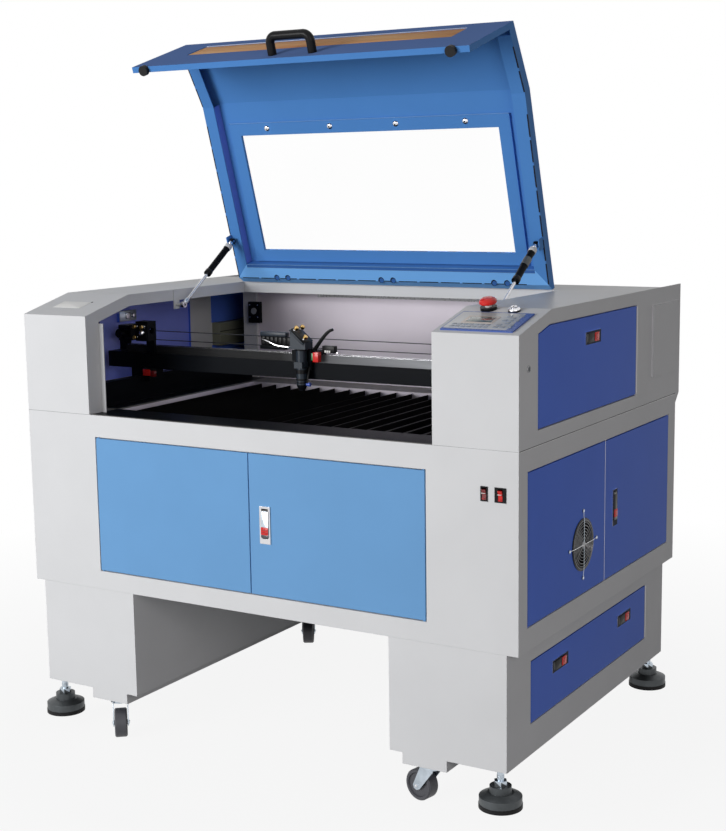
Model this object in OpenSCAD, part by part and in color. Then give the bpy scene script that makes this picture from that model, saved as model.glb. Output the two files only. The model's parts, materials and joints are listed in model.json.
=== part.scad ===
// Laser engraving machine: a sheet-steel cabinet on two legs, with a lifting lid over a blade
// bed, a gantry that carries the laser head, and a sealed laser tube in the rear bay.
// Millimetres. +X is the operator's right, +Y the rear, +Z up. The floor is z = 0.

/* [Cabinet] */
// Width of the cabinet
body_w = 1400; // [1180:10:1700]
// Depth of the lower cabinet
body_d = 988; // [930:2:1200]
// Height of the lower cabinet, from its underside to the seam
cabinet_h = 453; // [440:1:560]
// How far the upper housings reach out behind the lower cabinet
rear_flare = 26; // [10:1:60]
// Thickness of the sheet steel
sheet = 2; // [1.5:0.1:2.4]

/* [Legs] */
// Height of the underside of a leg above the floor
leg_clear = 124; // [112:1:150]
// Height of a leg
leg_h = 271; // [225:1:340]
// Width of a leg
leg_w = 298; // [270:1:360]
// Inset of a leg from the side of the cabinet
leg_inset = 28; // [10:1:60]
// Width of the channel that carries the casters
caster_box_w = 115; // [90:1:140]
// Height of that channel
caster_box_h = 27; // [20:1:35]
// Inset of the caster swivel from the side of the cabinet
swivel_inset = 235; // [220:1:260]
// Inset of the caster swivels from the front and the rear
swivel_end = 40; // [35:1:80]

/* [Upper housings] */
// Width of the left housing
left_pod_w = 206; // [190:1:250]
// Width of the right housing
right_pod_w = 209; // [200:1:250]
// Height of a housing above the seam
pod_h = 292; // [285:1:360]
// Drop of the top over the tube bay
rear_drop = 18; // [12:1:24]
// Height of the upright front of a housing
pod_front_h = 249; // [240:1:256]
// Depth of the sloping top behind the front
slope_d = 169; // [155:1:200]
// Depth of the flange under the inner edge of a housing
pod_flange = 30; // [20:1:36]
// Depth of the inner wall behind a housing's front
pod_cheek = 50; // [30:1:60]

/* [Work area] */
// Depth of the sill in front of the bed
sill_d = 108; // [90:1:125]
// Depth of the deck opening
deck_d = 592; // [500:1:600]
// Ledge between a housing and the deck opening
deck_ledge = 16; // [12:1:24]
// Distance of the back wall of the work area behind the front
back_wall_d = 795; // [780:1:830]
// Pitch of the bed blades
blade_pitch = 50; // [30:1:60]
// Height of a blade's crest above its foot
blade_h = 38; // [30:1:60]
// Depth of the blades' crests below the deck
blade_top = 4; // [2:1:10]

/* [Lid] */
// Angle that the lid stands open
lid_open = 72.6; // [60:0.2:75]
// Distance of the lid's rear edge behind the front
lid_rear_d = 684; // [670:1:700]
// Gap between the lid and each housing
lid_gap = 10.5; // [8:0.5:13]
// How far the lid stands proud of the housings
lid_proud = 4; // [2:0.5:6]
// Depth of the lid's walls
lid_wall = 30; // [24:1:34]
// Thickness of the front flap
flap_t = 15; // [12:1:20]
// Gap between the closed flap and the sill
flap_gap = 12; // [12:1:20]
// Length of the main window, front to rear
window_l = 330; // [260:1:340]
// Width of the main window
window_w = 779; // [600:1:800]
// Width of the window trim
trim_w = 33; // [24:1:34]
// Height of the strip window in the flap
strip_h = 90; // [60:1:110]
// Span of the handle between its legs
handle_span = 116; // [90:1:160]
// Diameter of the handle tube
handle_d = 22; // [16:1:25]
// How far the handle stands off the flap
handle_off = 57; // [45:1:70]

/* [Gas struts] */
// Length of a strut's cylinder
strut_body_l = 129; // [118:1:140]
// Diameter of a strut's cylinder
strut_d = 18; // [15:1:20]
// Diameter of a strut's rod
strut_rod_d = 8; // [6:1:10]

/* [Doors] */
// Gap around a door
door_gap = 3; // [2.5:0.1:3.5]
// Depth of a door leaf
leaf_t = 8; // [8:0.1:8.4]
// Depth of the return around a door opening
jamb_d = 13; // [13:0.5:15]
// Diameter of a hinge pin
pin_d = 6; // [4:0.5:6]
// Distance of a hinge pin from the leaf's edge and face
pin_edge = 5; // [5:0.1:5.2]
// Radial clearance of a pin in its hole
pin_fit = 0.05; // [0.03:0.01:0.1]

/* [Gantry] */
// Diameter of the laser tube
tube_d = 80; // [50:1:90]
// Height of the beam path above the deck
optics_h = 189; // [189:1:195]
// Travel of the head from the middle of the bed to its rest place
head_x = -20; // [-60:1:60]
// Distance of the gantry beam behind the front
gantry_d = 282; // [260:1:320]
// Width of a guide rail
rail_w = 25; // [15:1:30]

/* [Casters and feet] */
// Diameter of a caster wheel
wheel_d = 75; // [60:1:75]
// Width of a caster wheel
wheel_w = 32; // [24:1:34]
// Trail of a caster
trail = 33; // [25:1:38]
// Height of a levelling foot's sole above the floor
foot_lift = 32; // [20:1:40]
// Diameter of a levelling foot
foot_d = 100; // [60:1:110]
// Diameter of a levelling foot's stud
stud_d = 16; // [12:1:20]

/* [Hidden] */
$fn = 48;

// Seating gap under pieces that lie on a sloping face
seat = 0.05;

// Planes and heights of the cabinet
half_w = body_w / 2;
front = -body_d / 2;
rear = body_d / 2;
upper_rear = rear + rear_flare;
cabinet_z = leg_clear + leg_h;
seam_z = cabinet_z + cabinet_h;
pod_top = seam_z + pod_h;
left_in = -half_w + left_pod_w;
right_in = half_w - right_pod_w;
slope = atan((pod_h - pod_front_h) / slope_d);

// Work area
deck_x0 = left_in + deck_ledge;
deck_x1 = right_in - deck_ledge;
deck_y0 = front + sill_d;
deck_y1 = deck_y0 + deck_d;
deck_flange = blade_h + blade_top;
back_wall = front + back_wall_d;
step_y = back_wall + 74;
step_z = pod_top - rear_drop;
optics_z = seam_z + optics_h;

// Lid, in its own frame: y runs from the rear edge to the front, z runs inward
lid_x0 = left_in + lid_gap;
lid_x1 = right_in - lid_gap;
lid_mid = (lid_x0 + lid_x1) / 2;
lid_main_l = lid_rear_d - slope_d + lid_proud * tan(slope / 2);
lid_slope_l = (slope_d + lid_proud - lid_proud * tan(slope / 2)) / cos(slope);
lid_flap_l = pod_front_h + lid_proud * (1 - sin(slope)) / cos(slope) - flap_gap;
lid_corner = [lid_main_l + lid_slope_l * cos(slope), lid_slope_l * sin(slope)];
pin_back = 1;
pin_up = 1.5;
knuckle_d = 8;
hinge_pin_d = 5;
hinge_l = 60;
lid_pin = [front + lid_rear_d + pin_back, pod_top + lid_proud + pin_up];
hinge_xs = [lid_mid - 350, lid_mid, lid_mid + 350];
window_y0 = 95;
window_y1 = window_y0 + window_l;
window_x0 = lid_mid - window_w / 2;
window_x1 = lid_mid + window_w / 2;
window_lap = 15;
window_t = 4;
strip_y0 = 45;
strip_x = [window_x0 + 5, window_x1 - 5];

// Gas struts
strut_in = 25;
strut_lid = [133, 44];
strut_stroke = 101;
strut_eye_d = 16;
strut_pin_d = 8;
strut_top = lid_place(strut_lid[0], strut_lid[1]);
strut_foot = [front + 369, seam_z + 251];
strut_line = strut_top - strut_foot;
strut_open_l = norm(strut_line);
strut_angle = atan2(strut_line[1], strut_line[0]);

// Covers over the ends of the laser tube
tube_y = (back_wall + upper_rear) / 2;
tube_cover_y = [back_wall + 4, rear];
tube_cover_z = [seam_z + 65, seam_z + 250];
tube_cover_t = 6;
cover_lap = 12;

// Doors: [left or lower corner along the wall, height of the lower edge, width, height]
front_door_z = cabinet_z + 48;
front_door_h = cabinet_h - 104;
front_door_x0 = deck_x0;
front_door_x1 = deck_x1 - 1;
front_meet = (front_door_x0 + front_door_x1) / 2 - 4;
side_door_z = cabinet_z + 53;
side_door_h = cabinet_h - 103;
side_door_y0 = front + 45;
side_door_y1 = rear - 50;
side_meet = (side_door_y0 + side_door_y1) / 2;
upper_door_z = seam_z + 33;
upper_door_h = 227;
upper_door_y0 = front + 97;
upper_door_w = 593;
upper_chamfer = [63, 16];
leg_panel_z = leg_clear + 73;
leg_panel_h = leg_h - 121;
leg_panel_y0 = front + 125;
leg_panel_w = body_d - 258;
stop_w = 8;
stop_t = sheet;
leg_face = half_w - leg_inset;

// Latches
latch_w = 30;
latch_h = 91;
latch_lip = 3;
latch_tub = 12;
lever_w = 18;
lever_h = 62;
lever_t = 6;
lever_pin_d = 3;
front_latch_at = [front_meet + 46.5, seam_z - 229];
rear_latch_at = [side_meet + 60, seam_z - 227];
upper_latch_at = [front + 402, seam_z + 208];
leg_latch_ys = [front + 287, rear - 293];
leg_latch_z = leg_clear + 174;

// Fan in the right front door
fan_at = [front + 354, seam_z - 278];
fan_w = 120;
fan_depth = 25;
fan_bore = 112;
rotor_d = 106;
rotor_hub_d = 42;

// Controls
console_x = [half_w - 195, half_w - 22];
console_y = [15, 132];
estop_at = [half_w - 145, 157];
estop_d = 40;
estop_stem_d = 16;
estop_travel = 6;
key_at = [half_w - 79, 150];
key_d = 19;
rocker_z = seam_z - 97;
lamp_rocker_x = half_w - 82;
power_rocker_x = half_w - 43;
rocker_half_h = 12;
rocker_set = 12;
rocker_pivot = 4;
rocker_pin_d = 2;

// Gantry, rails and head
rail_inset = 132;
rail_top = seam_z + 64;
rail_h = 20;
post_t = 8;
rail_y = [front + 115, back_wall - post_t - 1];
beam_y = [front + gantry_d, front + gantry_d + 60];
beam_z = [seam_z + 84, seam_z + 126];
beam_x = half_w - 35;
run_gap = 0.3;
guide_y = [beam_y[0] + 5, beam_y[0] + 27];
guide_h = 20;
belt_z = [beam_z[1] + 33, beam_z[1] + 58];
belt_y = [guide_y[1] - 4, guide_y[1] + 6];
pulley_x = beam_x - 20;
optics_y = beam_y[0] - 20;
relay_x = -half_w + 185;
barrel_d = 27;

// Casters: [side, end, direction of the trail]
caster_plate = 3;
fork_t = 2.5;
axle_d = 8;
kingpin_d = 10;
caster_top = leg_clear - caster_box_h - caster_plate;
front_left = [-1, 0, -50];
front_right = [1, 0, 168];
rear_left = [-1, 1, -60];
rear_right = [1, 1, 20];

// Levelling feet
foot_x = half_w - 56;
foot_y = [front + 27, rear - 29];
pad_h = 10;
disc_h = 25;
hub_d = 50;
hub_h = 30;
nut_w = 27;
nut_h = 13;
foot_down = 45;

steel = "gainsboro";
navy = "royalblue";
sky = "lightskyblue";
zinc = "silver";
black = "dimgray";

function door_outline(w, h, in, cut) = concat(
    [[in, in], [w - in, in], [w - in, h - in]],
    cut[0] > 0
        ? let (b = atan(cut[1] / cut[0]))
            [[cut[0] + in * tan(b / 2), h - in], [in, h - cut[1] - in * (1 - sin(b)) / cos(b)]]
        : [[in, h - in]]);

// The housing's outline from the rear to the foot of its front, set in by n
function pod_outline(n, y_rear, z_foot) = [
    [y_rear, z_foot], [y_rear, pod_top - n], [front + slope_d + n * tan(slope / 2), pod_top - n],
    [front + n, seam_z + pod_front_h - n * (1 - sin(slope)) / cos(slope)], [front + n, z_foot]];

// The lid's line at depth n: rear edge, first bend, second bend, foot of the flap
function lid_line(n) = [
    [0, n], [lid_main_l - n * tan(slope / 2), n],
    [lid_corner[0] - n, lid_corner[1] + n * (1 - sin(slope)) / cos(slope)],
    [lid_corner[0] - n, lid_corner[1] + lid_flap_l]];

module block(from, to) {
    translate(from) cube(to - from);
}

// A flat outline in x and z, between two depths in y
module plate(y0, y1) {
    translate([0, y1, 0]) rotate([90, 0, 0]) linear_extrude(y1 - y0) children();
}

// An outline in y and z, between two places in x
module along_x(x0, x1) {
    translate([x0, 0, 0]) rotate([90, 0, 90]) linear_extrude(x1 - x0) children();
}

module rod_x(x0, x1, y, z, d) {
    translate([x0, y, z]) rotate([0, 90, 0]) cylinder(d = d, h = x1 - x0);
}

module rod_y(y0, y1, x, z, d) {
    translate([x, y1, z]) rotate([90, 0, 0]) cylinder(d = d, h = y1 - y0);
}

module rod_z(z0, z1, x, y, d) {
    translate([x, y, z0]) cylinder(d = d, h = z1 - z0);
}

// Wall frames: x along the wall, y into the machine, z up
module on_front() {
    translate([0, front, 0]) children();
}

module on_right(face) {
    translate([face, 0, 0]) rotate([0, 0, 90]) children();
}

module on_left(face) {
    mirror([1, 0, 0]) on_right(face) children();
}

// The sloping top of a housing: y up the slope, z out of it
module on_slope() {
    translate([0, front, seam_z + pod_front_h]) rotate([slope, 0, 0]) children();
}

// ---- doors ----

// Holes for the hinge pins of a door whose hinge is on its left, right or lower edge
module pin_holes(w, h, side) {
    d = pin_d + 2 * pin_fit;
    at = door_gap + pin_edge;
    if (side == "bottom") rod_x(-2 * sheet, w + 2 * sheet, pin_edge, at, d);
    if (side == "left") rod_z(-2 * sheet, h + 2 * sheet, at, pin_edge, d);
    if (side == "right") rod_z(-2 * sheet, h + 2 * sheet, w - at, pin_edge, d);
}

module pins(w, h, side, lap) {
    at = door_gap + pin_edge;
    out = sheet + 1;
    if (side == "bottom") {
        rod_x(-out, door_gap + 0.5, pin_edge, at, pin_d);
        rod_x(w - door_gap - 0.5, w + out, pin_edge, at, pin_d);
    } else {
        x = side == "left" ? at : w - at;
        rod_z(-out, door_gap + 0.5, x, pin_edge, pin_d);
        rod_z(h - door_gap - 0.5, h + out, x, pin_edge, pin_d);
    }
}

module door_frame(w, h, cut = [0, 0]) {
    difference() {
        plate(0, jamb_d) polygon(door_outline(w, h, -sheet, cut));
        plate(-1, jamb_d - stop_t) polygon(door_outline(w, h, 0, cut));
        plate(-1, jamb_d + 1) polygon(door_outline(w, h, stop_w, cut));
    }
}

// A folded leaf; free_in is its distance from the free edge of the place it fills
module leaf(w, h, side, free_in = door_gap, cut = [0, 0]) {
    shift = side == "right" ? free_in - door_gap : 0;
    wide = w + door_gap - free_in;
    translate([shift, 0, 0]) difference() {
        plate(0, leaf_t) polygon(door_outline(wide, h, door_gap, cut));
        plate(sheet, leaf_t + 1) polygon(door_outline(wide, h, door_gap + sheet, cut));
    }
    pins(w, h, side);
}

// ---- latches: centred, y into the door, the lever's pivot at the top ----

lever_pivot = [-lever_t / 2 + 2, lever_h / 2 + 4];

module latch_hole() {
    block([-latch_w / 2 + 2, -1, -latch_h / 2 + 4], [latch_w / 2 - 2, leaf_t, latch_h / 2 - 4]);
}

module latch_base() {
    color(zinc) difference() {
        union() {
            block([-latch_w / 2, -latch_lip, -latch_h / 2], [latch_w / 2, 0, latch_h / 2]);
            block([-latch_w / 2 + 2.3, -1, -latch_h / 2 + 4.3],
                [latch_w / 2 - 2.3, latch_tub, latch_h / 2 - 4.3]);
        }
        block([-lever_w / 2 - 0.5, -latch_lip - 1, -lever_h / 2 - 2],
            [lever_w / 2 + 0.5, latch_tub - 2, lever_h / 2 + 9]);
        rod_x(-lever_w / 2 - 2.5, lever_w / 2 + 2.5, lever_pivot[0], lever_pivot[1],
            lever_pin_d + 2 * pin_fit);
    }
}

module latch_lever() {
    color("gray") {
        block([-lever_w / 2, -latch_lip - 1, -lever_h / 2],
            [lever_w / 2, lever_t - latch_lip - 1, lever_pivot[1]]);
        rod_x(-lever_w / 2, lever_w / 2, lever_pivot[0], lever_pivot[1], lever_t);
        rod_x(-lever_w / 2 - 2, lever_w / 2 + 2, lever_pivot[0], lever_pivot[1], lever_pin_d);
        block([-lever_w / 2 + 2, lever_t - latch_lip - 2, -lever_h / 2 + 4],
            [lever_w / 2 - 2, 5, -lever_h / 2 + 16]);
    }
}

// Stands on its red end or lies with it towards the rear
module upright(at) {
    translate([at[0], 0, at[1]]) children();
}

module lying(at) {
    translate([at[0], 0, at[1]]) rotate([0, -90, 0]) children();
}

// ---- cabinet ----

module cabinet_profile(n) {
    polygon([[front + n, cabinet_z + n], [front + n, seam_z - n], [upper_rear - 2.4 * n, seam_z - n],
        [rear - n, seam_z - rear_flare], [rear - n, cabinet_z + n]]);
}

module rocker_hole(x) {
    block([x - 7, front - 1, rocker_z - 14.5], [x + 7, front + sheet + 1, rocker_z + 14.5]);
}

module lower_cabinet() {
    front_w = front_door_x1 - front_door_x0;
    side_w = side_door_y1 - side_door_y0;
    color(steel) difference() {
        union() {
            difference() {
                along_x(-half_w, half_w) cabinet_profile(0);
                along_x(-half_w + sheet, half_w - sheet) cabinet_profile(sheet);
                on_front() translate([front_door_x0, 0, front_door_z])
                    plate(-1, sheet + 1) polygon(door_outline(front_w, front_door_h, 0, [0, 0]));
                on_right(half_w) translate([side_door_y0, 0, side_door_z])
                    plate(-1, sheet + 1) polygon(door_outline(side_w, side_door_h, 0, [0, 0]));
                block([deck_x0, deck_y0, seam_z - sheet - 1], [deck_x1, deck_y1, seam_z + 1]);
                rocker_hole(lamp_rocker_x);
                rocker_hole(power_rocker_x);
            }
            on_front() translate([front_door_x0, 0, front_door_z]) door_frame(front_w, front_door_h);
            on_right(half_w) translate([side_door_y0, 0, side_door_z]) door_frame(side_w, side_door_h);
            deck_tray();
        }
        on_front() translate([front_door_x0, 0, front_door_z]) {
            pin_holes(front_w, front_door_h, "left");
            pin_holes(front_w, front_door_h, "right");
        }
        on_right(half_w) translate([side_door_y0, 0, side_door_z]) {
            pin_holes(side_w, side_door_h, "left");
            pin_holes(side_w, side_door_h, "right");
        }
    }
}

// The flange that hangs from the deck opening, turned in under the blades
module deck_tray() {
    foot = seam_z - deck_flange - sheet;
    difference() {
        block([deck_x0 - sheet, deck_y0 - sheet, foot], [deck_x1 + sheet, deck_y1 + sheet, seam_z]);
        block([deck_x0, deck_y0, foot + sheet], [deck_x1, deck_y1, seam_z + 1]);
        block([deck_x0 + 20, deck_y0 + 20, foot - 1], [deck_x1 - 20, deck_y1 - 20, seam_z]);
    }
}

// Folded blades on the tray: each rises towards the right and drops to its foot
module blade_bed() {
    count = floor((deck_x1 - deck_x0 - 20) / blade_pitch);
    foot = seam_z - deck_flange;
    crest = seam_z - blade_top;
    run = blade_pitch - 6;
    color(black) intersection() {
        block([deck_x0 + 1, deck_y0 + 1, foot], [deck_x1 - 1, deck_y1 - 1, seam_z]);
        for (i = [0 : count - 1]) translate([deck_x0 + 30 + i * blade_pitch, 0, 0])
            plate(deck_y0, deck_y1) polygon([[0, foot], [0, crest], [-run, crest - 12],
                [-run, crest - 12 - sheet], [-sheet, crest - 1.3 * sheet], [-sheet, foot + sheet],
                [-14, foot + sheet], [-14, foot]]);
    }
}

module leg(side) {
    x_out = side * leg_face;
    x_in = side * (leg_face - leg_w);
    x0 = min(x_out, x_in);
    x1 = max(x_out, x_in);
    swivel = side * (half_w - swivel_inset);
    difference() {
        union() {
            difference() {
                block([x0, front, leg_clear], [x1, rear, cabinet_z]);
                block([x0 + sheet, front + sheet, leg_clear + sheet],
                    [x1 - sheet, rear - sheet, cabinet_z + 1]);
            }
            difference() {
                block([swivel - caster_box_w / 2, front, leg_clear - caster_box_h],
                    [swivel + caster_box_w / 2, rear, leg_clear]);
                block([swivel - caster_box_w / 2 + sheet, front + sheet, leg_clear - caster_box_h + sheet],
                    [swivel + caster_box_w / 2 - sheet, rear - sheet, leg_clear - 0.5]);
            }
            for (y = [front + swivel_end, rear - swivel_end])
                rod_z(caster_top, leg_clear - caster_box_h + sheet, swivel, y, 56);
        }
        for (y = [front + swivel_end, rear - swivel_end])
            rod_z(caster_top - 1, leg_clear - caster_box_h + sheet + 1, swivel, y,
                kingpin_d + 2 * pin_fit);
        for (y = foot_y)
            rod_z(leg_clear - 1, leg_clear + sheet + 1, side * foot_x, y, stud_d + 2 * pin_fit);
    }
}

module legs() {
    color(steel) {
        leg(-1);
        difference() {
            union() {
                difference() {
                    leg(1);
                    on_right(leg_face) translate([leg_panel_y0, 0, leg_panel_z])
                        plate(-1, sheet + 1) polygon(door_outline(leg_panel_w, leg_panel_h, 0, [0, 0]));
                }
                on_right(leg_face) translate([leg_panel_y0, 0, leg_panel_z])
                    door_frame(leg_panel_w, leg_panel_h);
            }
            on_right(leg_face) translate([leg_panel_y0, 0, leg_panel_z])
                pin_holes(leg_panel_w, leg_panel_h, "bottom");
        }
    }
}

// ---- upper housings: outer face at x = 0, the machine on the -x side ----

module strut_bracket(w) {
    color(steel) difference() {
        union() {
            block([-w - sheet, strut_foot[0] - 12, strut_foot[1] - 12],
                [-w, strut_foot[0] + 12, pod_top - sheet]);
            rod_x(-w - strut_in + 5.5, -w, strut_foot[0], strut_foot[1], strut_pin_d);
        }
    }
}

// Place in y and z of a point of the lid, s along it and n inward, as the lid stands open
function lid_place(s, n) =
    let (y = -(s + pin_back), z = -(n + pin_up), c = cos(lid_open), t = sin(lid_open))
    [lid_pin[0] + y * c + z * t, lid_pin[1] - y * t + z * c];

module housing(w) {
    difference() {
        union() {
            difference() {
                along_x(-w, 0) polygon(pod_outline(0, upper_rear, seam_z));
                along_x(-w + sheet, -sheet) polygon(pod_outline(sheet, upper_rear - sheet, seam_z - 1));
                along_x(-w - 1, -w / 2) intersection() {
                    polygon(pod_outline(pod_flange, upper_rear - sheet, seam_z - 1));
                    translate([front + pod_cheek, 0]) square([body_d + rear_flare, pod_top]);
                }
                on_right(0) translate([upper_door_y0, 0, upper_door_z])
                    plate(-1, sheet + 1)
                        polygon(door_outline(upper_door_w, upper_door_h, 0, upper_chamfer));
                block([-w / 2, tube_cover_y[0] + cover_lap, tube_cover_z[0] + cover_lap],
                    [1, tube_cover_y[1] - cover_lap, tube_cover_z[1] - cover_lap]);
                block([-w - 1, step_y, step_z], [-sheet, upper_rear + 1, pod_top + 1]);
            }
            block([-w, step_y - sheet, step_z - sheet], [-sheet / 2, upper_rear, step_z]);
            block([-w, step_y - sheet, step_z - sheet], [-sheet / 2, step_y, pod_top - sheet / 2]);
            on_right(0) translate([upper_door_y0, 0, upper_door_z])
                door_frame(upper_door_w, upper_door_h, upper_chamfer);
            block([-w - 15, front + pod_cheek - sheet, seam_z],
                [-w + sheet, front + pod_cheek, seam_z + pod_front_h - 22]);
        }
        on_right(0) translate([upper_door_y0, 0, upper_door_z])
            pin_holes(upper_door_w, upper_door_h, "bottom");
    }
    strut_bracket(w);
}

module left_housing() {
    color(steel) mirror([1, 0, 0]) translate([half_w, 0, 0]) housing(left_pod_w);
}

module right_housing() {
    color(steel) difference() {
        translate([half_w, 0, 0]) housing(right_pod_w);
        on_slope() {
            rod_z(-sheet - 1, 1, estop_at[0], estop_at[1], 30);
            rod_z(-sheet - 1, 1, key_at[0], key_at[1], key_d + 6);
        }
    }
}

module tube_covers() {
    color("gray") for (side = [0, 1]) mirror([side, 0, 0]) {
        block([half_w, tube_cover_y[0], tube_cover_z[0]],
            [half_w + tube_cover_t, tube_cover_y[1], tube_cover_z[1]]);
    }
}

// Lip, top, step and rear wall between the housings, with the back wall of the work area
module rear_cover() {
    lip_y = lid_pin[0] + 2;
    wall_in = 76;
    color(steel) {
        along_x(left_in, right_in) polygon([
            [lip_y, pod_top - 30], [lip_y, pod_top], [step_y, pod_top], [step_y, step_z],
            [upper_rear, step_z], [upper_rear, seam_z], [upper_rear - sheet, seam_z],
            [upper_rear - sheet, step_z - sheet], [step_y - sheet, step_z - sheet],
            [step_y - sheet, pod_top - sheet], [back_wall + sheet, pod_top - sheet],
            [back_wall + sheet, seam_z], [back_wall, seam_z], [back_wall, pod_top - sheet],
            [lip_y + sheet, pod_top - sheet], [lip_y + sheet, pod_top - 30]]);
        block([left_in - wall_in, back_wall, seam_z],
            [left_in, back_wall + sheet, pod_top - pod_flange - 3]);
        block([right_in, back_wall, seam_z],
            [right_in + wall_in, back_wall + sheet, pod_top - pod_flange - 3]);
        block([left_in - wall_in, back_wall - post_t, seam_z],
            [left_in - wall_in + 47, back_wall, pod_top - pod_flange - 3]);
        for (x = hinge_xs) translate([x, 0, 0]) fixed_hinge();
    }
}

module fixed_hinge() {
    difference() {
        union() {
            block([-hinge_l / 2, lid_pin[0] + 5, pod_top], [hinge_l / 2, lid_pin[0] + 27, pod_top + 3]);
            block([-9.7, lid_pin[0], pod_top], [9.7, lid_pin[0] + 6, pod_top + 3]);
            rod_x(-9.7, 9.7, lid_pin[0], lid_pin[1], knuckle_d);
        }
        rod_x(-10, 10, lid_pin[0], lid_pin[1], hinge_pin_d + 2 * pin_fit);
    }
}

// ---- rear bay and work area ----

module laser_tube() {
    z = optics_z - 20;
    x0 = left_in + 24;
    x1 = half_w - 70;
    color("lightblue") rod_x(x0 + 40, x1 - 40, tube_y, z, tube_d);
    color(zinc) {
        rod_x(x0, x0 + 40, tube_y, z, tube_d * 0.6);
        rod_x(x1 - 40, x1, tube_y, z, tube_d * 0.6);
        for (x = [x0 + 180, x1 - 200]) difference() {
            block([x, tube_y - tube_d * 0.65, seam_z], [x + 30, tube_y + tube_d * 0.65, z]);
            rod_x(x - 1, x + 31, tube_y, z, tube_d + 2 * run_gap);
        }
    }
}

module power_supply() {
    color(zinc) block([half_w - 190, rear - 420, cabinet_z + sheet],
        [half_w - 50, rear - 130, cabinet_z + sheet + 110]);
}

module y_rails() {
    color(black) for (side = [0, 1]) mirror([side, 0, 0]) {
        x0 = half_w - rail_inset - rail_w;
        block([x0, rail_y[0], seam_z], [x0 + rail_w, rail_y[1], rail_top]);
    }
}

module fixed_mirror() {
    w = 40;
    t = 14;
    y1 = back_wall - 19;
    color(black) difference() {
        union() {
            block([relay_x - w / 2, y1 - t, optics_z - 24], [relay_x + w / 2, y1, optics_z + 38]);
            block([relay_x - w / 2, y1 - 1, optics_z - 10],
                [left_in - 29, back_wall - post_t, optics_z + 24]);
        }
        rod_y(y1 - t - 10, y1 - t + 6, relay_x, optics_z + 14, 21);
    }
}

module work_lamp() {
    color(zinc) along_x(lid_mid - 293, lid_mid + 297) polygon([
        [back_wall, pod_top - 26], [back_wall, pod_top - 46], [back_wall - 8, pod_top - 46],
        [back_wall - 16, pod_top - 36], [back_wall - 16, pod_top - 26]]);
}

// ---- controls ----

module control_panel() {
    color(navy) on_slope() difference() {
        block([console_x[0], console_y[0], seat], [console_x[1], console_y[1], 3]);
        block([console_x[0] + 34, console_y[0] + 46, 2], [console_x[0] + 102, console_y[0] + 84, 4]);
    }
}

module rocker_bezel(x, w) {
    on_front() translate([x, 0, rocker_z]) difference() {
        union() {
            block([-w / 2, -2, -16.5], [w / 2, 0, 16.5]);
            block([-6.8, -1, -14.3], [6.8, 14, 14.3]);
        }
        block([-5.5, -3, -13.6], [5.5, 12, 13.6]);
        rod_x(-6.2, 6.2, rocker_pivot, 0, rocker_pin_d + 2 * pin_fit);
    }
}

module switch_bezels() {
    color(black) {
        rocker_bezel(lamp_rocker_x, 17);
        rocker_bezel(power_rocker_x, 27);
        on_slope() difference() {
            union() {
                rod_z(seat, 7, estop_at[0], estop_at[1], 38);
                rod_z(-20, 1, estop_at[0], estop_at[1], 29.4);
                rod_z(seat, 4, key_at[0], key_at[1], key_d + 9);
                rod_z(-18, 1, key_at[0], key_at[1], key_d + 5.4);
            }
            rod_z(-21, 8, estop_at[0], estop_at[1], estop_stem_d + 2 * pin_fit);
            rod_z(-19, 5, key_at[0], key_at[1], key_d + 2 * pin_fit);
        }
    }
}

module estop_button() {
    color("red") on_slope() translate([estop_at[0], estop_at[1], 0]) rotate_extrude()
        polygon([[0, -14], [estop_stem_d / 2, -14], [estop_stem_d / 2, 14], [estop_d / 2 - 2, 14],
            [estop_d / 2, 16], [estop_d / 2, 21], [estop_d / 2 - 3, 25], [estop_d / 2 - 9, 28], [0, 29]]);
}

module key_switch() {
    color(zinc) on_slope() translate([key_at[0], key_at[1], 0]) difference() {
        union() {
            rod_z(-15, 8, 0, 0, key_d);
            rod_z(8, 12, 0, 0, 14);
        }
        block([-1.5, -5, 6], [1.5, 5, 13]);
    }
}

module rocker(x, w) {
    on_front() translate([x, 0, rocker_z]) {
        translate([0, rocker_pivot, 0]) rotate([rocker_set, 0, 0]) translate([0, -rocker_pivot, 0])
            along_x(-w / 2, w / 2) polygon([[-4, -rocker_half_h], [-1.2, 0], [-4, rocker_half_h],
                [5, rocker_half_h - 2], [9, 0], [5, 2 - rocker_half_h]]);
        rod_x(-w / 2 - 0.6, w / 2 + 0.6, rocker_pivot, 0, rocker_pin_d);
    }
}

module power_rocker() {
    color("red") rocker(power_rocker_x, 10);
}

module lamp_rocker() {
    color("darkred") rocker(lamp_rocker_x, 10);
}

// ---- lid ----

module lid_frame() {
    translate([0, lid_pin[0], lid_pin[1]]) rotate([180 - lid_open, 0, 0])
        translate([0, pin_back, pin_up])
        children();
}

module flap_frame() {
    lid_frame() translate([0, lid_corner[0], lid_corner[1]]) rotate([90, 0, 0]) children();
}

module lid_band(n0, n1, x0, x1) {
    a = lid_line(n0);
    b = lid_line(n1);
    along_x(x0, x1) polygon([a[0], a[1], a[2], a[3], b[3], b[2], b[1], b[0]]);
}

module moving_hinge() {
    for (x0 = [-hinge_l / 2, 10]) {
        rod_x(x0, x0 + hinge_l / 2 - 10, -pin_back, -pin_up, knuckle_d);
        block([x0, -pin_back, -3], [x0 + hinge_l / 2 - 10, 26, 0]);
    }
    block([-hinge_l / 2, 4, -3], [hinge_l / 2, 26, 0]);
    rod_x(-hinge_l / 2, hinge_l / 2, -pin_back, -pin_up, hinge_pin_d);
}

module strut_lug(x, side) {
    y = strut_lid[0];
    block([x - 1.5, y - 14, lid_wall - 1], [x + 1.5, y + 14, strut_lid[1] + 9]);
    rod_x(min(x, x + side * 17), max(x, x + side * 17), y, strut_lid[1], strut_pin_d);
}

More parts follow.
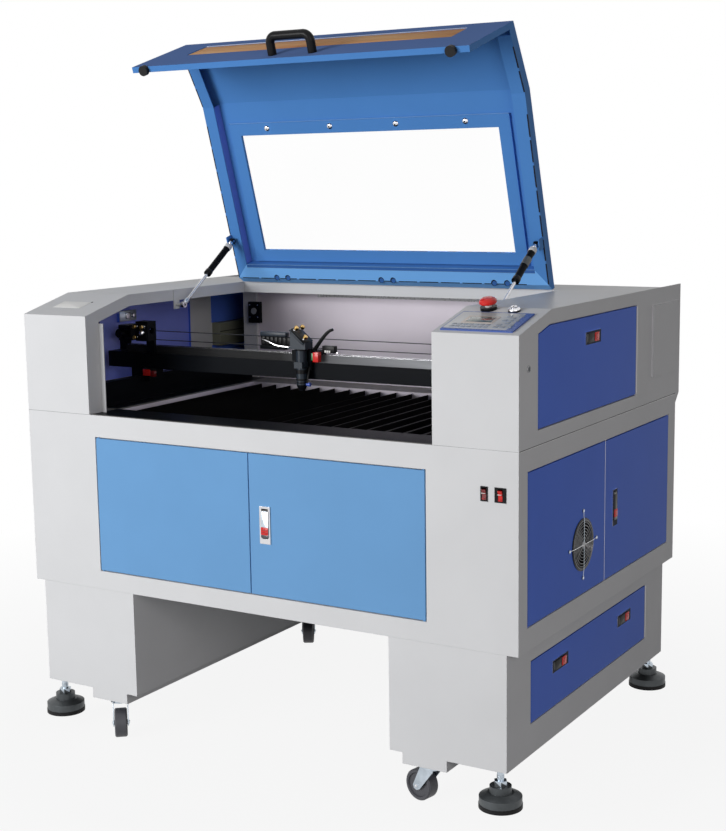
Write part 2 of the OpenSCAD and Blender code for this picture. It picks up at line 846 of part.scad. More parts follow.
module lid_shell() {
    border = 36;
    rear_border = 59;
    rear_fold = 18;
    rear_wall = 14;
    color(navy) difference() {
        union() {
            lid_frame() {
                lid_band(0, sheet, lid_x0, lid_x1);
                for (x = [lid_x0, lid_x1 - sheet]) lid_sides(x, x + sheet, 0);
                for (x = [lid_x0, lid_x1 - border]) lid_sides(x, x + border, lid_wall - sheet);
                along_x(lid_x0, lid_x1) polygon([
                    [0, 0], [0, rear_wall], [rear_fold, lid_wall], [rear_border, lid_wall],
                    [rear_border, lid_wall - sheet], [rear_fold + sheet / 2, lid_wall - sheet],
                    [sheet, rear_wall - sheet / 2], [sheet, 0]]);
                block([lid_x0, rear_border - sheet, sheet], [lid_x1, rear_border, lid_wall]);
                strut_lug(lid_x0 + 3, 1);
                strut_lug(lid_x1 - 3, -1);
            }
            flap_frame() difference() {
                block([lid_x0, 10, 0], [lid_x1, lid_flap_l, flap_t]);
                block([lid_x0 + sheet, 12, sheet], [lid_x1 - sheet, lid_flap_l - sheet, flap_t - sheet]);
            }
        }
        lid_frame() {
            along_x(lid_x0 - 1, lid_x1 + 1)
                polygon([[-1, rear_wall], [0, rear_wall], [rear_fold, lid_wall],
                    [rear_fold, lid_wall + 1], [-1, lid_wall + 1]]);
            block([window_x0, window_y0, -1], [window_x1, window_y1, sheet + 1]);
            for (x = hinge_xs) rod_x(x - hinge_l / 2 - 0.5, x + hinge_l / 2 + 0.5,
                -pin_back, -pin_up, knuckle_d + 2 * run_gap);
        }
        flap_frame() block([strip_x[0], strip_y0, -1], [strip_x[1], strip_y0 + strip_h, flap_t + 1]);
    }
    color(navy) lid_frame() for (x = hinge_xs) translate([x, 0, 0]) moving_hinge();
}

// Side wall of the lid from depth n0 to its edge, as far as the flap
module lid_sides(x0, x1, n0) {
    a = lid_line(n0);
    b = lid_line(lid_wall);
    c = lid_line(flap_t);
    along_x(x0, x1) polygon(n0 == 0
        ? [a[0], a[1], a[2], [a[2][0], a[2][1] + 12], [c[2][0], b[2][1]], b[2], b[1], b[0]]
        : [a[0], a[1], a[2], b[2], b[1], b[0]]);
}

module lid_windows() {
    color("whitesmoke") {
        lid_frame() block([window_x0 - window_lap, window_y0 - window_lap, sheet + seat],
            [window_x1 + window_lap, window_y1 + window_lap, sheet + window_t]);
        flap_frame() block([strip_x[0] - window_lap, strip_y0 - window_lap, sheet + seat],
            [strip_x[1] + window_lap, strip_y0 + strip_h + window_lap, sheet + window_t]);
    }
}

// The frame that clamps the main window to the lid, with its screws
module window_trim() {
    top = sheet + window_t + 2.5;
    lap = window_lap + run_gap;
    color(navy) lid_frame() {
        difference() {
            block([window_x0 - trim_w, window_y0 - trim_w, sheet + seat],
                [window_x1 + trim_w, window_y1 + trim_w, top]);
            block([window_x0 - lap, window_y0 - lap, 0],
                [window_x1 + lap, window_y1 + lap, sheet + window_t + seat]);
            block([window_x0, window_y0, 0], [window_x1, window_y1, 2 * lid_wall]);
        }
        for (k = [-1.5 : 1 : 1.5]) translate([lid_mid + k * 200, window_y1 + trim_w / 2, top])
            rotate_extrude() intersection() {
                translate([0, -4]) circle(r = 8);
                square(20);
            }
    }
}

module lid_handle() {
    bend = 18;
    y = 205;
    out = handle_off - handle_d / 2;
    color(black) flap_frame() translate([lid_mid - 12, y, 0]) {
        for (side = [-1, 1]) {
            rod_z(-out + bend, -0.3, side * handle_span / 2, 0, handle_d);
            translate([side * (handle_span / 2 - bend), 0, -out + bend]) rotate([90, 0, 0])
                rotate([0, 0, side > 0 ? -90 : 180]) rotate_extrude(angle = 90)
                    translate([bend, 0]) circle(d = handle_d);
        }
        rod_x(-handle_span / 2 + bend, handle_span / 2 - bend, 0, -out, handle_d);
    }
}

module lid_bumpers() {
    color(black) flap_frame() for (x = [lid_x0 + 41, lid_x1 - 45])
        rod_y(lid_flap_l, lid_flap_l + flap_gap - 1, x, 9, 26);
}

// ---- gas struts: along y from the lid pivot to the foot ----

module strut_place(side) {
    x = side < 0 ? left_in + strut_in : right_in - strut_in;
    translate([x, strut_top[0], strut_top[1]]) rotate([strut_angle, 0, 0]) mirror([0, 1, 0]) children();
}

module strut_cylinder(side) {
    bore = strut_rod_d + 2 * pin_fit;
    color(black) strut_place(side) {
        difference() {
            union() {
                rod_x(-5, 5, 0, 0, strut_eye_d);
                rod_y(0, 24, 0, 0, 9);
                rod_y(20, 20 + strut_body_l - 6, 0, 0, strut_d);
                rod_y(13 + strut_body_l, 20 + strut_body_l, 0, 0, strut_d + 2);
            }
            rod_x(-6, 6, 0, 0, strut_pin_d + 2 * pin_fit);
            rod_y(26, 21 + strut_body_l, 0, 0, bore);
        }
    }
}

module strut_rod(side) {
    color(zinc) strut_place(side) {
        difference() {
            union() {
                rod_x(-5, 5, strut_open_l, 0, strut_eye_d);
                rod_y(strut_stroke + 28, strut_open_l - 4, 0, 0, strut_rod_d);
            }
            rod_x(-6, 6, strut_open_l, 0, strut_pin_d + 2 * pin_fit);
        }
    }
}

module left_strut_cylinder() {
    strut_cylinder(-1);
}

module right_strut_cylinder() {
    strut_cylinder(1);
}

module left_strut_rod() {
    strut_rod(-1);
}

module right_strut_rod() {
    strut_rod(1);
}

// ---- door leaves and their fittings ----

module front_door_left() {
    color(sky) on_front() translate([front_door_x0, 0, front_door_z])
        leaf(front_meet - front_door_x0, front_door_h, "left", door_gap / 2);
}

module front_door_right() {
    w = front_door_x1 - front_meet;
    color(sky) on_front() difference() {
        translate([front_meet, 0, front_door_z]) leaf(w, front_door_h, "right", door_gap / 2);
        upright(front_latch_at) latch_hole();
    }
}

module front_latch() {
    on_front() upright(front_latch_at) latch_base();
}

module front_latch_handle() {
    on_front() upright(front_latch_at) latch_lever();
}

module right_front_door() {
    color(navy) on_right(half_w) difference() {
        translate([side_door_y0, 0, side_door_z])
            leaf(side_meet - side_door_y0, side_door_h, "left", door_gap / 2);
        rod_y(-1, leaf_t, fan_at[0], fan_at[1], fan_bore);
    }
}

module spokes(y0, y1, w, reach) {
    for (turn = [45 : 90 : 315]) rotate([0, turn, 0]) block([8, y0, -w / 2], [reach, y1, w / 2]);
}

// Fan housing behind the door and its guard in front of it
module fan_frame() {
    back = sheet + fan_depth;
    color(black) on_right(half_w) translate([fan_at[0], 0, fan_at[1]]) {
        difference() {
            block([-fan_w / 2, sheet, -fan_w / 2], [fan_w / 2, back, fan_w / 2]);
            rod_y(0, back + 1, 0, 0, fan_bore);
        }
        rod_y(back - 2.8, back - 0.2, 0, 0, rotor_hub_d);
        rod_y(back - 14, back - 1, 0, 0, 8);
        spokes(back - 2.5, back - 0.5, 6, fan_bore / 2 + 1);
    }
    color(zinc) on_right(half_w) translate([fan_at[0], 0, fan_at[1]]) {
        rod_y(-2, 0, 0, 0, 24);
        spokes(-1.6, -0.4, 5, fan_bore / 2);
        for (r = [30, 45]) rotate([90, 0, 0]) rotate_extrude() translate([r, 0]) square([2.5, 2]);
        rotate([90, 0, 0]) rotate_extrude() translate([fan_bore / 2 - 2, 0]) square([9, 2]);
    }
}

module fan_rotor() {
    y0 = sheet + 3;
    color(black) on_right(half_w) translate([fan_at[0], 0, fan_at[1]]) difference() {
        union() {
            rod_y(y0, y0 + 19, 0, 0, rotor_hub_d);
            for (turn = [0 : 360 / 7 : 359]) rotate([0, turn, 0])
                translate([rotor_hub_d / 2 - 1, y0 + 9, 0])
                rotate([35, 0, 0]) block([0, -1, -12], [rotor_d / 2 - rotor_hub_d / 2, 1, 12]);
        }
        rod_y(y0 + 6, y0 + 20, 0, 0, 8 + 2 * pin_fit);
    }
}

module right_rear_door() {
    color(navy) on_right(half_w) difference() {
        translate([side_meet, 0, side_door_z])
            leaf(side_door_y1 - side_meet, side_door_h, "right", door_gap / 2);
        upright(rear_latch_at) latch_hole();
    }
}

module right_rear_latch() {
    on_right(half_w) upright(rear_latch_at) latch_base();
}

module right_rear_latch_handle() {
    on_right(half_w) upright(rear_latch_at) latch_lever();
}

module upper_leaf() {
    on_right(half_w) difference() {
        translate([upper_door_y0, 0, upper_door_z])
            leaf(upper_door_w, upper_door_h, "bottom", door_gap, upper_chamfer);
        lying(upper_latch_at) latch_hole();
    }
}

module right_upper_door() {
    color(navy) upper_leaf();
}

module right_upper_latch() {
    on_right(half_w) lying(upper_latch_at) latch_base();
}

module right_upper_latch_handle() {
    on_right(half_w) lying(upper_latch_at) latch_lever();
}

module left_upper_door() {
    mirror([1, 0, 0]) {
        color(navy) upper_leaf();
        on_right(half_w) lying(upper_latch_at) color(zinc)
            block([-latch_w / 2 + 2.3, -latch_lip, -latch_h / 2 + 4.3],
                [latch_w / 2 - 2.3, latch_tub, latch_h / 2 - 4.3]);
    }
}

module right_leg_panel() {
    color(navy) on_right(leg_face) difference() {
        translate([leg_panel_y0, 0, leg_panel_z]) leaf(leg_panel_w, leg_panel_h, "bottom");
        for (y = leg_latch_ys) lying([y, leg_latch_z]) latch_hole();
    }
}

module right_leg_latches() {
    on_right(leg_face) for (y = leg_latch_ys) lying([y, leg_latch_z]) latch_base();
}

module right_leg_handle_front() {
    on_right(leg_face) lying([leg_latch_ys[0], leg_latch_z]) latch_lever();
}

module right_leg_handle_rear() {
    on_right(leg_face) lying([leg_latch_ys[1], leg_latch_z]) latch_lever();
}

// ---- gantry ----

module gantry_beam() {
    rail_mid = half_w - rail_inset - rail_w / 2;
    color(black) difference() {
        union() {
            block([-beam_x, beam_y[0], beam_z[0]], [beam_x, beam_y[1], beam_z[1]]);
            block([-beam_x + 60, guide_y[0], beam_z[1]], [beam_x - 60, guide_y[1], beam_z[1] + guide_h]);
            for (x = [-rail_mid, rail_mid])
                block([x - 30, beam_y[0], rail_top - rail_h + 4], [x + 30, beam_y[1], beam_z[0] + 1]);
        }
        for (x = [-rail_mid, rail_mid])
            block([x - rail_w / 2 - run_gap, beam_y[0] - 1, 0],
                [x + rail_w / 2 + run_gap, beam_y[1] + 1, rail_top + run_gap]);
    }
}

// Belt, pulleys, motor and the mirror that turns the beam along the gantry
module gantry_drive() {
    mid_z = (belt_z[0] + belt_z[1]) / 2;
    r = (belt_z[1] - belt_z[0]) / 2;
    color(black) {
        difference() {
            union() {
                block([-pulley_x, belt_y[0], belt_z[0]], [pulley_x, belt_y[1], belt_z[1]]);
                for (x = [-pulley_x, pulley_x]) rod_y(belt_y[0], belt_y[1], x, mid_z, 2 * r);
            }
            block([-pulley_x, belt_y[0] - 1, belt_z[0] + 1], [pulley_x, belt_y[1] + 1, belt_z[1] - 1]);
            for (x = [-pulley_x, pulley_x]) rod_y(belt_y[0] - 1, belt_y[1] + 1, x, mid_z, 2 * r - 2);
        }
        for (x = [-pulley_x, pulley_x]) {
            rod_y(belt_y[0] - 2, belt_y[1] + 2, x, mid_z, 2 * r - 2.6);
            rod_y(belt_y[1] + 1, belt_y[1] + 14, x, mid_z, 8);
        }
        block([-pulley_x - 21, belt_y[1] + 13, mid_z - 21],
            [-pulley_x + 21, belt_y[1] + 61, mid_z + 21]);
        block([-pulley_x - 18, belt_y[1] + 14, beam_z[1]],
            [-pulley_x + 18, belt_y[1] + 20, mid_z - 20]);
        block([pulley_x - 15, belt_y[1] + 9, beam_z[1]], [pulley_x + 15, belt_y[1] + 14, mid_z + 14]);
        difference() {
            union() {
                block([relay_x - 20, optics_y - 18, optics_z - 27],
                    [relay_x + 20, beam_y[0] - 2, optics_z + 25]);
                block([relay_x - 14, beam_y[0] - 3, beam_z[1]], [relay_x + 14, beam_y[0] + 4, optics_z]);
            }
            rod_x(relay_x, relay_x + 21, optics_y, optics_z, 18);
            rod_y(optics_y, beam_y[0], relay_x, optics_z, 18);
        }
    }
}

module laser_head() {
    plate_y = [beam_y[0] - 10, beam_y[0] - 2];
    top = beam_z[1] + guide_h + 10;
    color("slategray") translate([head_x, 0, 0]) {
        difference() {
            union() {
                block([-22, plate_y[0], beam_z[0] + 24], [22, plate_y[1], optics_z + 20]);
                block([-40, plate_y[1] - 1, beam_z[1] + 2], [40, guide_y[1] + 7, top]);
                block([-18, optics_y - 24, optics_z - 22], [27, plate_y[0], optics_z + 22]);
                block([-26, optics_y - 24, optics_z - 26], [27, plate_y[0], optics_z - 22]);
                block([-12, optics_y - 17, beam_z[0] + 30], [12, plate_y[0], beam_z[0] + 46]);
                rod_z(beam_z[0] - 12, optics_z - 20, 0, optics_y, barrel_d);
                rod_z(beam_z[0] - 26, beam_z[0] - 12, 0, optics_y, 15);
            }
            block([-41, guide_y[0] - run_gap, beam_z[1]],
                [41, guide_y[1] + run_gap, beam_z[1] + guide_h + run_gap]);
            translate([-25, optics_y - 25, optics_z + 22.5]) rotate([0, 40, 0]) cube([60, 60, 40]);
            rod_x(-25, 5, optics_y, optics_z, 16);
        }
    }
}

// ---- casters: [side, end, direction of the trail] ----

module swivel_place(c) {
    y = c[1] == 0 ? front + swivel_end : rear - swivel_end;
    translate([c[0] * (half_w - swivel_inset), y, 0]) rotate([0, 0, c[2]]) children();
}

module caster_fork(c) {
    cheek = wheel_w / 2 + 1.5;
    axle_z = wheel_d / 2;
    crown_z = caster_top - 9;
    color(zinc) swivel_place(c) difference() {
        union() {
            rod_z(crown_z, caster_top - run_gap, 0, 0, 50);
            rod_z(crown_z, caster_top + caster_plate + sheet + 6, 0, 0, kingpin_d);
            for (y = [-cheek - fork_t, cheek]) plate(y, y + fork_t)
                polygon([[-16, crown_z + 6], [20, crown_z + 6], [trail + 11, axle_z],
                    [trail + 8, axle_z - 8], [trail, axle_z - 11], [trail - 9, axle_z - 7],
                    [-14, crown_z - 6]]);
        }
        rod_y(-40, 40, trail, axle_z, axle_d + 2 * pin_fit);
    }
}

module caster_wheel(c) {
    cheek = wheel_w / 2 + 1.5;
    color(black) swivel_place(c) translate([trail, 0, wheel_d / 2]) {
        rotate([90, 0, 0]) rotate_extrude() polygon([[0, -cheek + 0.3], [axle_d / 2 + 3, -cheek + 0.3],
            [axle_d / 2 + 3, 4 - wheel_w / 2], [wheel_d * 0.36, 4 - wheel_w / 2],
            [wheel_d * 0.39, -wheel_w / 2], [wheel_d / 2 - 3, -wheel_w / 2],
            [wheel_d / 2, 3 - wheel_w / 2], [wheel_d / 2, wheel_w / 2 - 3],
            [wheel_d / 2 - 3, wheel_w / 2], [wheel_d * 0.39, wheel_w / 2],
            [wheel_d * 0.36, wheel_w / 2 - 4], [axle_d / 2 + 3, wheel_w / 2 - 4],
            [axle_d / 2 + 3, cheek - 0.3], [0, cheek - 0.3]]);
        rod_y(-cheek - fork_t - 1, cheek + fork_t + 1, 0, 0, axle_d);
    }
}

module caster_fork_front_left() {
    caster_fork(front_left);
}

module caster_fork_front_right() {
    caster_fork(front_right);
}

module caster_fork_rear_left() {
    caster_fork(rear_left);
}

module caster_fork_rear_right() {
    caster_fork(rear_right);
}

module caster_wheel_front_left() {
    caster_wheel(front_left);
}

module caster_wheel_front_right() {
    caster_wheel(front_right);
}

module caster_wheel_rear_left() {
    caster_wheel(rear_left);
}

module caster_wheel_rear_right() {
    caster_wheel(rear_right);
}

// ---- levelling feet ----

module levelling_foot(side, end) {
    hub_z = foot_lift + pad_h + disc_h;
    translate([side * foot_x, foot_y[end], 0]) {
        color(black) rod_z(foot_lift, foot_lift + pad_h, 0, 0, foot_d);
        color(zinc) difference() {
            union() {
                rod_z(foot_lift + pad_h - 1, hub_z - 8, 0, 0, foot_d - 2);
                translate([0, 0, hub_z - 8]) cylinder(d1 = foot_d - 2, d2 = hub_d + 10, h = 8);
                rod_z(hub_z - 1, hub_z - 1 + hub_h - nut_h, 0, 0, hub_d);
                translate([0, 0, hub_z + hub_h - nut_h - 2])
                    cylinder(d = nut_w / cos(30), h = nut_h, $fn = 6);
                rod_z(hub_z, leg_clear + sheet + foot_down + 8, 0, 0, stud_d);
            }
            rotate([0, 0, 40]) rod_x(hub_d / 2 - 10, hub_d, 0, hub_z + 8, 6);
        }
    }
}

module levelling_foot_front_left() {
    levelling_foot(-1, 0);
}

module levelling_foot_front_right() {
    levelling_foot(1, 0);
}

module levelling_foot_rear_left() {
    levelling_foot(-1, 1);
}

module levelling_foot_rear_right() {
    levelling_foot(1, 1);
}

lower_cabinet();
legs();
left_housing();
right_housing();
rear_cover();
blade_bed();
y_rails();
tube_covers();
fixed_mirror();
work_lamp();
control_panel();
switch_bezels();
laser_tube();
power_supply();
lid_shell();
lid_windows();
window_trim();
lid_handle();
lid_bumpers();
left_strut_cylinder();
right_strut_cylinder();
left_strut_rod();
right_strut_rod();
front_door_left();
front_door_right();
front_latch();
front_latch_handle();
right_front_door();
fan_frame();
fan_rotor();
right_rear_door();
right_rear_latch();
right_rear_latch_handle();
right_upper_door();
right_upper_latch();
right_upper_latch_handle();
left_upper_door();
right_leg_panel();
right_leg_latches();
right_leg_handle_front();
right_leg_handle_rear();
estop_button();
key_switch();
power_rocker();
lamp_rocker();
gantry_beam();
gantry_drive();
laser_head();
caster_fork_front_left();
caster_fork_front_right();
caster_fork_rear_left();
caster_fork_rear_right();
caster_wheel_front_left();
caster_wheel_front_right();
caster_wheel_rear_left();
caster_wheel_rear_right();
levelling_foot_front_left();
levelling_foot_front_right();
levelling_foot_rear_left();
levelling_foot_rear_right();
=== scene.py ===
"""Looks of the laser engraving machine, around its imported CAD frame. Metres, +Z up, front at -Y.
Shapes are written in millimetres and scaled once, when a piece is made."""
import json
import math

import bmesh
import bpy
from mathutils import Matrix, Vector


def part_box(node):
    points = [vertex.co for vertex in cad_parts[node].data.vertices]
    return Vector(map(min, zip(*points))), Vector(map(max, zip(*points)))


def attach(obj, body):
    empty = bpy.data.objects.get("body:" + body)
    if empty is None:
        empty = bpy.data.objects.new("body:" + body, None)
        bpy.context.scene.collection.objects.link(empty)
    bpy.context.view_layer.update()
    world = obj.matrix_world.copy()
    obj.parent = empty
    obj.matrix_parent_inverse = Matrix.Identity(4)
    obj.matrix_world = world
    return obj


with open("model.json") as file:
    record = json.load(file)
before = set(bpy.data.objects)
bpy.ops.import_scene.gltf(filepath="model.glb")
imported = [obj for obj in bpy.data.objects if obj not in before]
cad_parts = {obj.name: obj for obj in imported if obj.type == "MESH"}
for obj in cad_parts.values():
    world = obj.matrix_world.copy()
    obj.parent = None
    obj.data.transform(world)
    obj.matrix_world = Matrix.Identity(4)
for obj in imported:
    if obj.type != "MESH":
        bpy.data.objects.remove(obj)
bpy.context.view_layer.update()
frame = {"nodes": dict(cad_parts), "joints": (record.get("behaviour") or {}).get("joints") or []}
NODES = frame["nodes"]
JOINTS = {joint["name"]: joint for joint in frame["joints"]}


def mm_box(node):
    """Lowest and highest corner of a CAD node, in millimetres."""
    lo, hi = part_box(node)
    return lo * 1000, hi * 1000


# ---------------------------------------------------------------- materials

def new_material(name):
    mat = bpy.data.materials.new(name)
    mat.use_nodes = True
    return mat, mat.node_tree.nodes, mat.node_tree.links, mat.node_tree.nodes["Principled BSDF"]


def noise(nodes, links, scale, detail=2.0, stretch=(1, 1, 1)):
    """A noise in the object's own metres, stretched along its axes."""
    coords = nodes.new("ShaderNodeTexCoord")
    mapping = nodes.new("ShaderNodeMapping")
    mapping.inputs["Scale"].default_value = stretch
    tex = nodes.new("ShaderNodeTexNoise")
    tex.inputs["Scale"].default_value = scale
    tex.inputs["Detail"].default_value = detail
    links.new(coords.outputs["Object"], mapping.inputs["Vector"])
    links.new(mapping.outputs["Vector"], tex.inputs["Vector"])
    return tex.outputs["Fac"]


def ramp(nodes, links, fac, low, high, span=(0.3, 0.7)):
    """Colours from low to high over the middle of a noise."""
    node = nodes.new("ShaderNodeValToRGB")
    for element, at, color in zip(node.color_ramp.elements, span, (low, high)):
        element.position = at
        element.color = (*color, 1)
    links.new(fac, node.inputs["Fac"])
    return node.outputs["Color"]


def surface(name, color, rough, metal=0.0, vary=0.06, scale=6.0, grain=300.0, bump=0.05,
            stretch=(1, 1, 1), coat=0.0, edge=0.0, rough_vary=0.06, specular=0.5, other=None):
    """A finish: colour that drifts a little, and a fine grain in roughness and bump."""
    mat, nodes, links, bsdf = new_material(name)
    low = tuple(c * (1 - vary) for c in color)
    high = other or tuple(min(1.0, c * (1 + vary)) for c in color)
    drift = noise(nodes, links, scale, 3.0, stretch)
    links.new(ramp(nodes, links, drift, low, high), bsdf.inputs["Base Color"])
    fine = noise(nodes, links, grain, 2.0, stretch)
    spread = nodes.new("ShaderNodeMapRange")
    spread.inputs["To Min"].default_value = max(0.02, rough - rough_vary)
    spread.inputs["To Max"].default_value = rough + rough_vary
    links.new(fine, spread.inputs["Value"])
    links.new(spread.outputs["Result"], bsdf.inputs["Roughness"])
    bumper = nodes.new("ShaderNodeBump")
    bumper.inputs["Strength"].default_value = bump
    bumper.inputs["Distance"].default_value = 0.0004
    links.new(fine, bumper.inputs["Height"])
    if edge:
        soft = nodes.new("ShaderNodeBevel")
        soft.samples = 4
        soft.inputs["Radius"].default_value = edge
        links.new(soft.outputs["Normal"], bumper.inputs["Normal"])
    links.new(bumper.outputs["Normal"], bsdf.inputs["Normal"])
    bsdf.inputs["Metallic"].default_value = metal
    bsdf.inputs["Specular IOR Level"].default_value = specular
    if coat:
        bsdf.inputs["Coat Weight"].default_value = coat
        bsdf.inputs["Coat Roughness"].default_value = 0.06
    return mat


def clear(name, color, rough=0.02):
    mat, nodes, links, bsdf = new_material(name)
    tint = ramp(nodes, links, noise(nodes, links, 3.0), tuple(c * 0.99 for c in color), color)
    links.new(tint, bsdf.inputs["Base Color"])
    bsdf.inputs["Transmission Weight"].default_value = 1.0
    bsdf.inputs["Roughness"].default_value = rough
    bsdf.inputs["IOR"].default_value = 1.02
    return mat


def graded(mat, low, high, span):
    """Multiplies a finish's colour by a grey from low to high over a span of x, in metres."""
    nodes, links = mat.node_tree.nodes, mat.node_tree.links
    base = nodes["Principled BSDF"].inputs["Base Color"]
    color = base.links[0].from_socket
    coords = nodes.new("ShaderNodeTexCoord")
    split = nodes.new("ShaderNodeSeparateXYZ")
    links.new(coords.outputs["Object"], split.inputs[0])
    share = nodes.new("ShaderNodeMapRange")
    share.inputs["From Min"].default_value, share.inputs["From Max"].default_value = span
    share.inputs["To Min"].default_value, share.inputs["To Max"].default_value = low, high
    links.new(split.outputs["X"], share.inputs["Value"])
    scale = nodes.new("ShaderNodeVectorMath")
    scale.operation = "SCALE"
    links.new(color, scale.inputs[0])
    links.new(share.outputs["Result"], scale.inputs["Scale"])
    links.new(scale.outputs[0], base)
    return mat


PAINT = {"edge": 0.0012, "bump": 0.03, "vary": 0.02, "specular": 0.02}
METAL = {"metal": 1.0, "edge": 0.0005}
M = {
    "grey": surface("powder_grey", (0.70, 0.708, 0.722), 0.32, **PAINT),
    # painted light: a brighter, pinkish copy of the housing grey for walls inside the bay, where shade falls
    "inside": surface("powder_grey_lit_inside", (0.86, 0.80, 0.88), 0.34, **PAINT),
    # painted shade: a dark copy of the housing grey for the cabinet's top faces in the bay, where shade falls
    "deck": surface("deck_grey_painted_shade", (0.24, 0.235, 0.225), 0.38, **PAINT),
    "sky": surface("door_sky_blue", (0.165, 0.365, 0.655), 0.32, **PAINT),
    "navy": surface("door_royal_blue", (0.10, 0.205, 0.78), 0.32, **PAINT),
    "lid": surface("lid_blue", (0.083, 0.248, 0.60), 0.30, **PAINT),
    # painted light: a brighter copy of the royal blue, with more sheen, for the left door's inner face in the
    # shaded bay
    "navy_lit_inside": surface("door_blue_lit_copy", (0.28, 0.34, 0.98), 0.34, vary=0.04, edge=0.0012, bump=0.03),
    "black": surface("black_enamel", (0.004, 0.005, 0.007), 0.34, vary=0.2, edge=0.0006, specular=0.04),
    "bed": surface("black_blade", (0.006, 0.006, 0.006), 0.42, vary=0.3, stretch=(1, 0.1, 1), specular=0.05),
    "plastic": surface("black_plastic", (0.008, 0.008, 0.009), 0.30, vary=0.15, edge=0.0008, specular=0.12),
    "rubber": surface("black_rubber", (0.012, 0.012, 0.013), 0.55, vary=0.2, bump=0.2, grain=700,
                      specular=0.15),
    "steel": surface("bright_steel", (0.62, 0.62, 0.64), 0.18, vary=0.08, grain=90,
                     stretch=(1, 14, 14), bump=0.1, **METAL),
    "zinc": surface("zinc_plate", (0.50, 0.56, 0.62), 0.30, vary=0.15, scale=40, **METAL),
    "chrome": surface("chrome_plate", (0.72, 0.72, 0.74), 0.10, vary=0.04, **METAL),
    "brass": surface("brass", (0.62, 0.40, 0.14), 0.22, vary=0.1, **METAL),
    "lever": surface("lever_graphite", (0.045, 0.045, 0.05), 0.35, vary=0.15, edge=0.0005),
    "red": surface("red_plastic", (0.66, 0.020, 0.016), 0.22, vary=0.1, coat=0.15, edge=0.0005,
                   specular=0.25),
    # painted light: a brighter copy of the red plastic for push blocks on the side latches, which face the
    # dim side
    "red_side_lit": surface("red_plastic_lit_copy", (0.98, 0.045, 0.035), 0.25, vary=0.05, edge=0.0005,
                          specular=0.1),
    "dark_red": surface("dark_red_plastic", (0.20, 0.012, 0.014), 0.25, vary=0.12, coat=0.3, edge=0.0005),
    "green": surface("green_plastic", (0.02, 0.20, 0.07), 0.3, vary=0.1, edge=0.0004),
    "blue_plastic": surface("blue_plastic", (0.05, 0.11, 0.5), 0.3, vary=0.1, edge=0.0004),
    "white": surface("white_plastic", (0.80, 0.80, 0.78), 0.35, vary=0.03, edge=0.0005),
    "foot": surface("foot_grey", (0.072, 0.080, 0.085), 0.42, metal=0.5, vary=0.2, scale=30, edge=0.001),
    "window": clear("clear_acrylic", (0.99, 0.99, 0.99)),
    "glass": clear("tube_glass", (0.92, 0.97, 0.99)),
    "panel": surface("panel_blue", (0.085, 0.15, 0.46), 0.28, vary=0.04, edge=0.001, specular=0.1),
    "membrane": surface("membrane_grey", (0.55, 0.56, 0.57), 0.30, vary=0.05, grain=900),
    "key": surface("key_grey", (0.30, 0.32, 0.35), 0.34, vary=0.06, grain=900),
    "key_blue": surface("key_blue", (0.16, 0.24, 0.40), 0.34, vary=0.06, grain=900),
    "cream": surface("display_frame", (0.60, 0.52, 0.46), 0.34, vary=0.04),
    "screen": surface("display_glass", (0.10, 0.13, 0.12), 0.10, vary=0.1, rough_vary=0.03),
    "lamp": surface("lamp_aluminium", (0.80, 0.81, 0.82), 0.28, metal=0.4, vary=0.05, edge=0.0006),
    "head": surface("head_blue_black", (0.018, 0.026, 0.038), 0.34, vary=0.15, edge=0.0006, specular=0.25),
    "olive": surface("duct_olive", (0.24, 0.25, 0.19), 0.45, vary=0.08, edge=0.001),
    "kraft": surface("masking_film", (0.62, 0.25, 0.09), 0.55, vary=0.10, scale=14, stretch=(0.25, 1, 1),
                     other=(0.78, 0.46, 0.22), grain=60, bump=0.1, specular=0.02),
    # painted reflection: the guide's colour runs from near black at x = -0.10 m to bright at x = 0.45 m
    "guide": graded(surface("guide_steel_painted_glare", (0.62, 0.64, 0.68), 0.25, vary=0.08, grain=90, stretch=(1, 14, 14),
                            bump=0.05, specular=0.1), 0.02, 0.7, (-0.10, 0.45)),
    # painted sheen: a lighter copy of the black rubber for the caster treads, standing in for their
    # reflection
    "tread": surface("caster_tread_painted_sheen", (0.055, 0.056, 0.066), 0.5, vary=0.2, bump=0.1, grain=500),
    "lid_dark": surface("lid_shaded_edge", (0.045, 0.135, 0.40), 0.34, **PAINT),
    # painted highlight: a pale lid blue for highlight lines on the lid's hem and trim
    "lid_highlight": surface("lid_painted_highlight", (0.20, 0.40, 0.74), 0.30, **PAINT),
    # painted sheen: a greyer, paler copy of the lid blue, with no specular, standing in for the haze of a
    # grazing reflection on the flap
    "flap": surface("lid_blue_painted_sheen", (0.15, 0.25, 0.55), 0.40, edge=0.0012, bump=0.03, vary=0.02,
                    specular=0.0),
    # painted light: a brighter copy of the lid blue for the lid's rear border face near the hinge
    "lid_foot_lit": surface("lid_blue_lit_copy", (0.18, 0.45, 0.90), 0.30, **PAINT),
    # painted light: a brighter, violet copy of the lid blue for strips that close the shaded cavities under
    # the side flanges
    "lid_lit_violet": surface("lid_lit_strip", (0.17, 0.27, 0.74), 0.34, **PAINT),
    # painted reflection: a near-black copy for the chrome frames of the side latches, where the chrome
    # reflects dark
    "bezel": surface("latch_chrome_painted_dark", (0.014, 0.018, 0.035), 0.40, vary=0.1, edge=0.0005, specular=0.02),
    "guard": surface("guard_wire", (0.24, 0.24, 0.25), 0.30, metal=0.6, vary=0.1, specular=0.2),
    # painted highlight: a bright mirror metal for thin strips that stand in for glints along bent sheet edges
    "glint": surface("painted_edge_glint", (0.62, 0.60, 0.62), 0.25, vary=0.04, metal=1.0),
    "void": surface("shadow_gap", (0.008, 0.010, 0.018), 0.6, vary=0.2, specular=0.1),
    "label": surface("blank_label", (0.62, 0.62, 0.62), 0.30, vary=0.03),
}

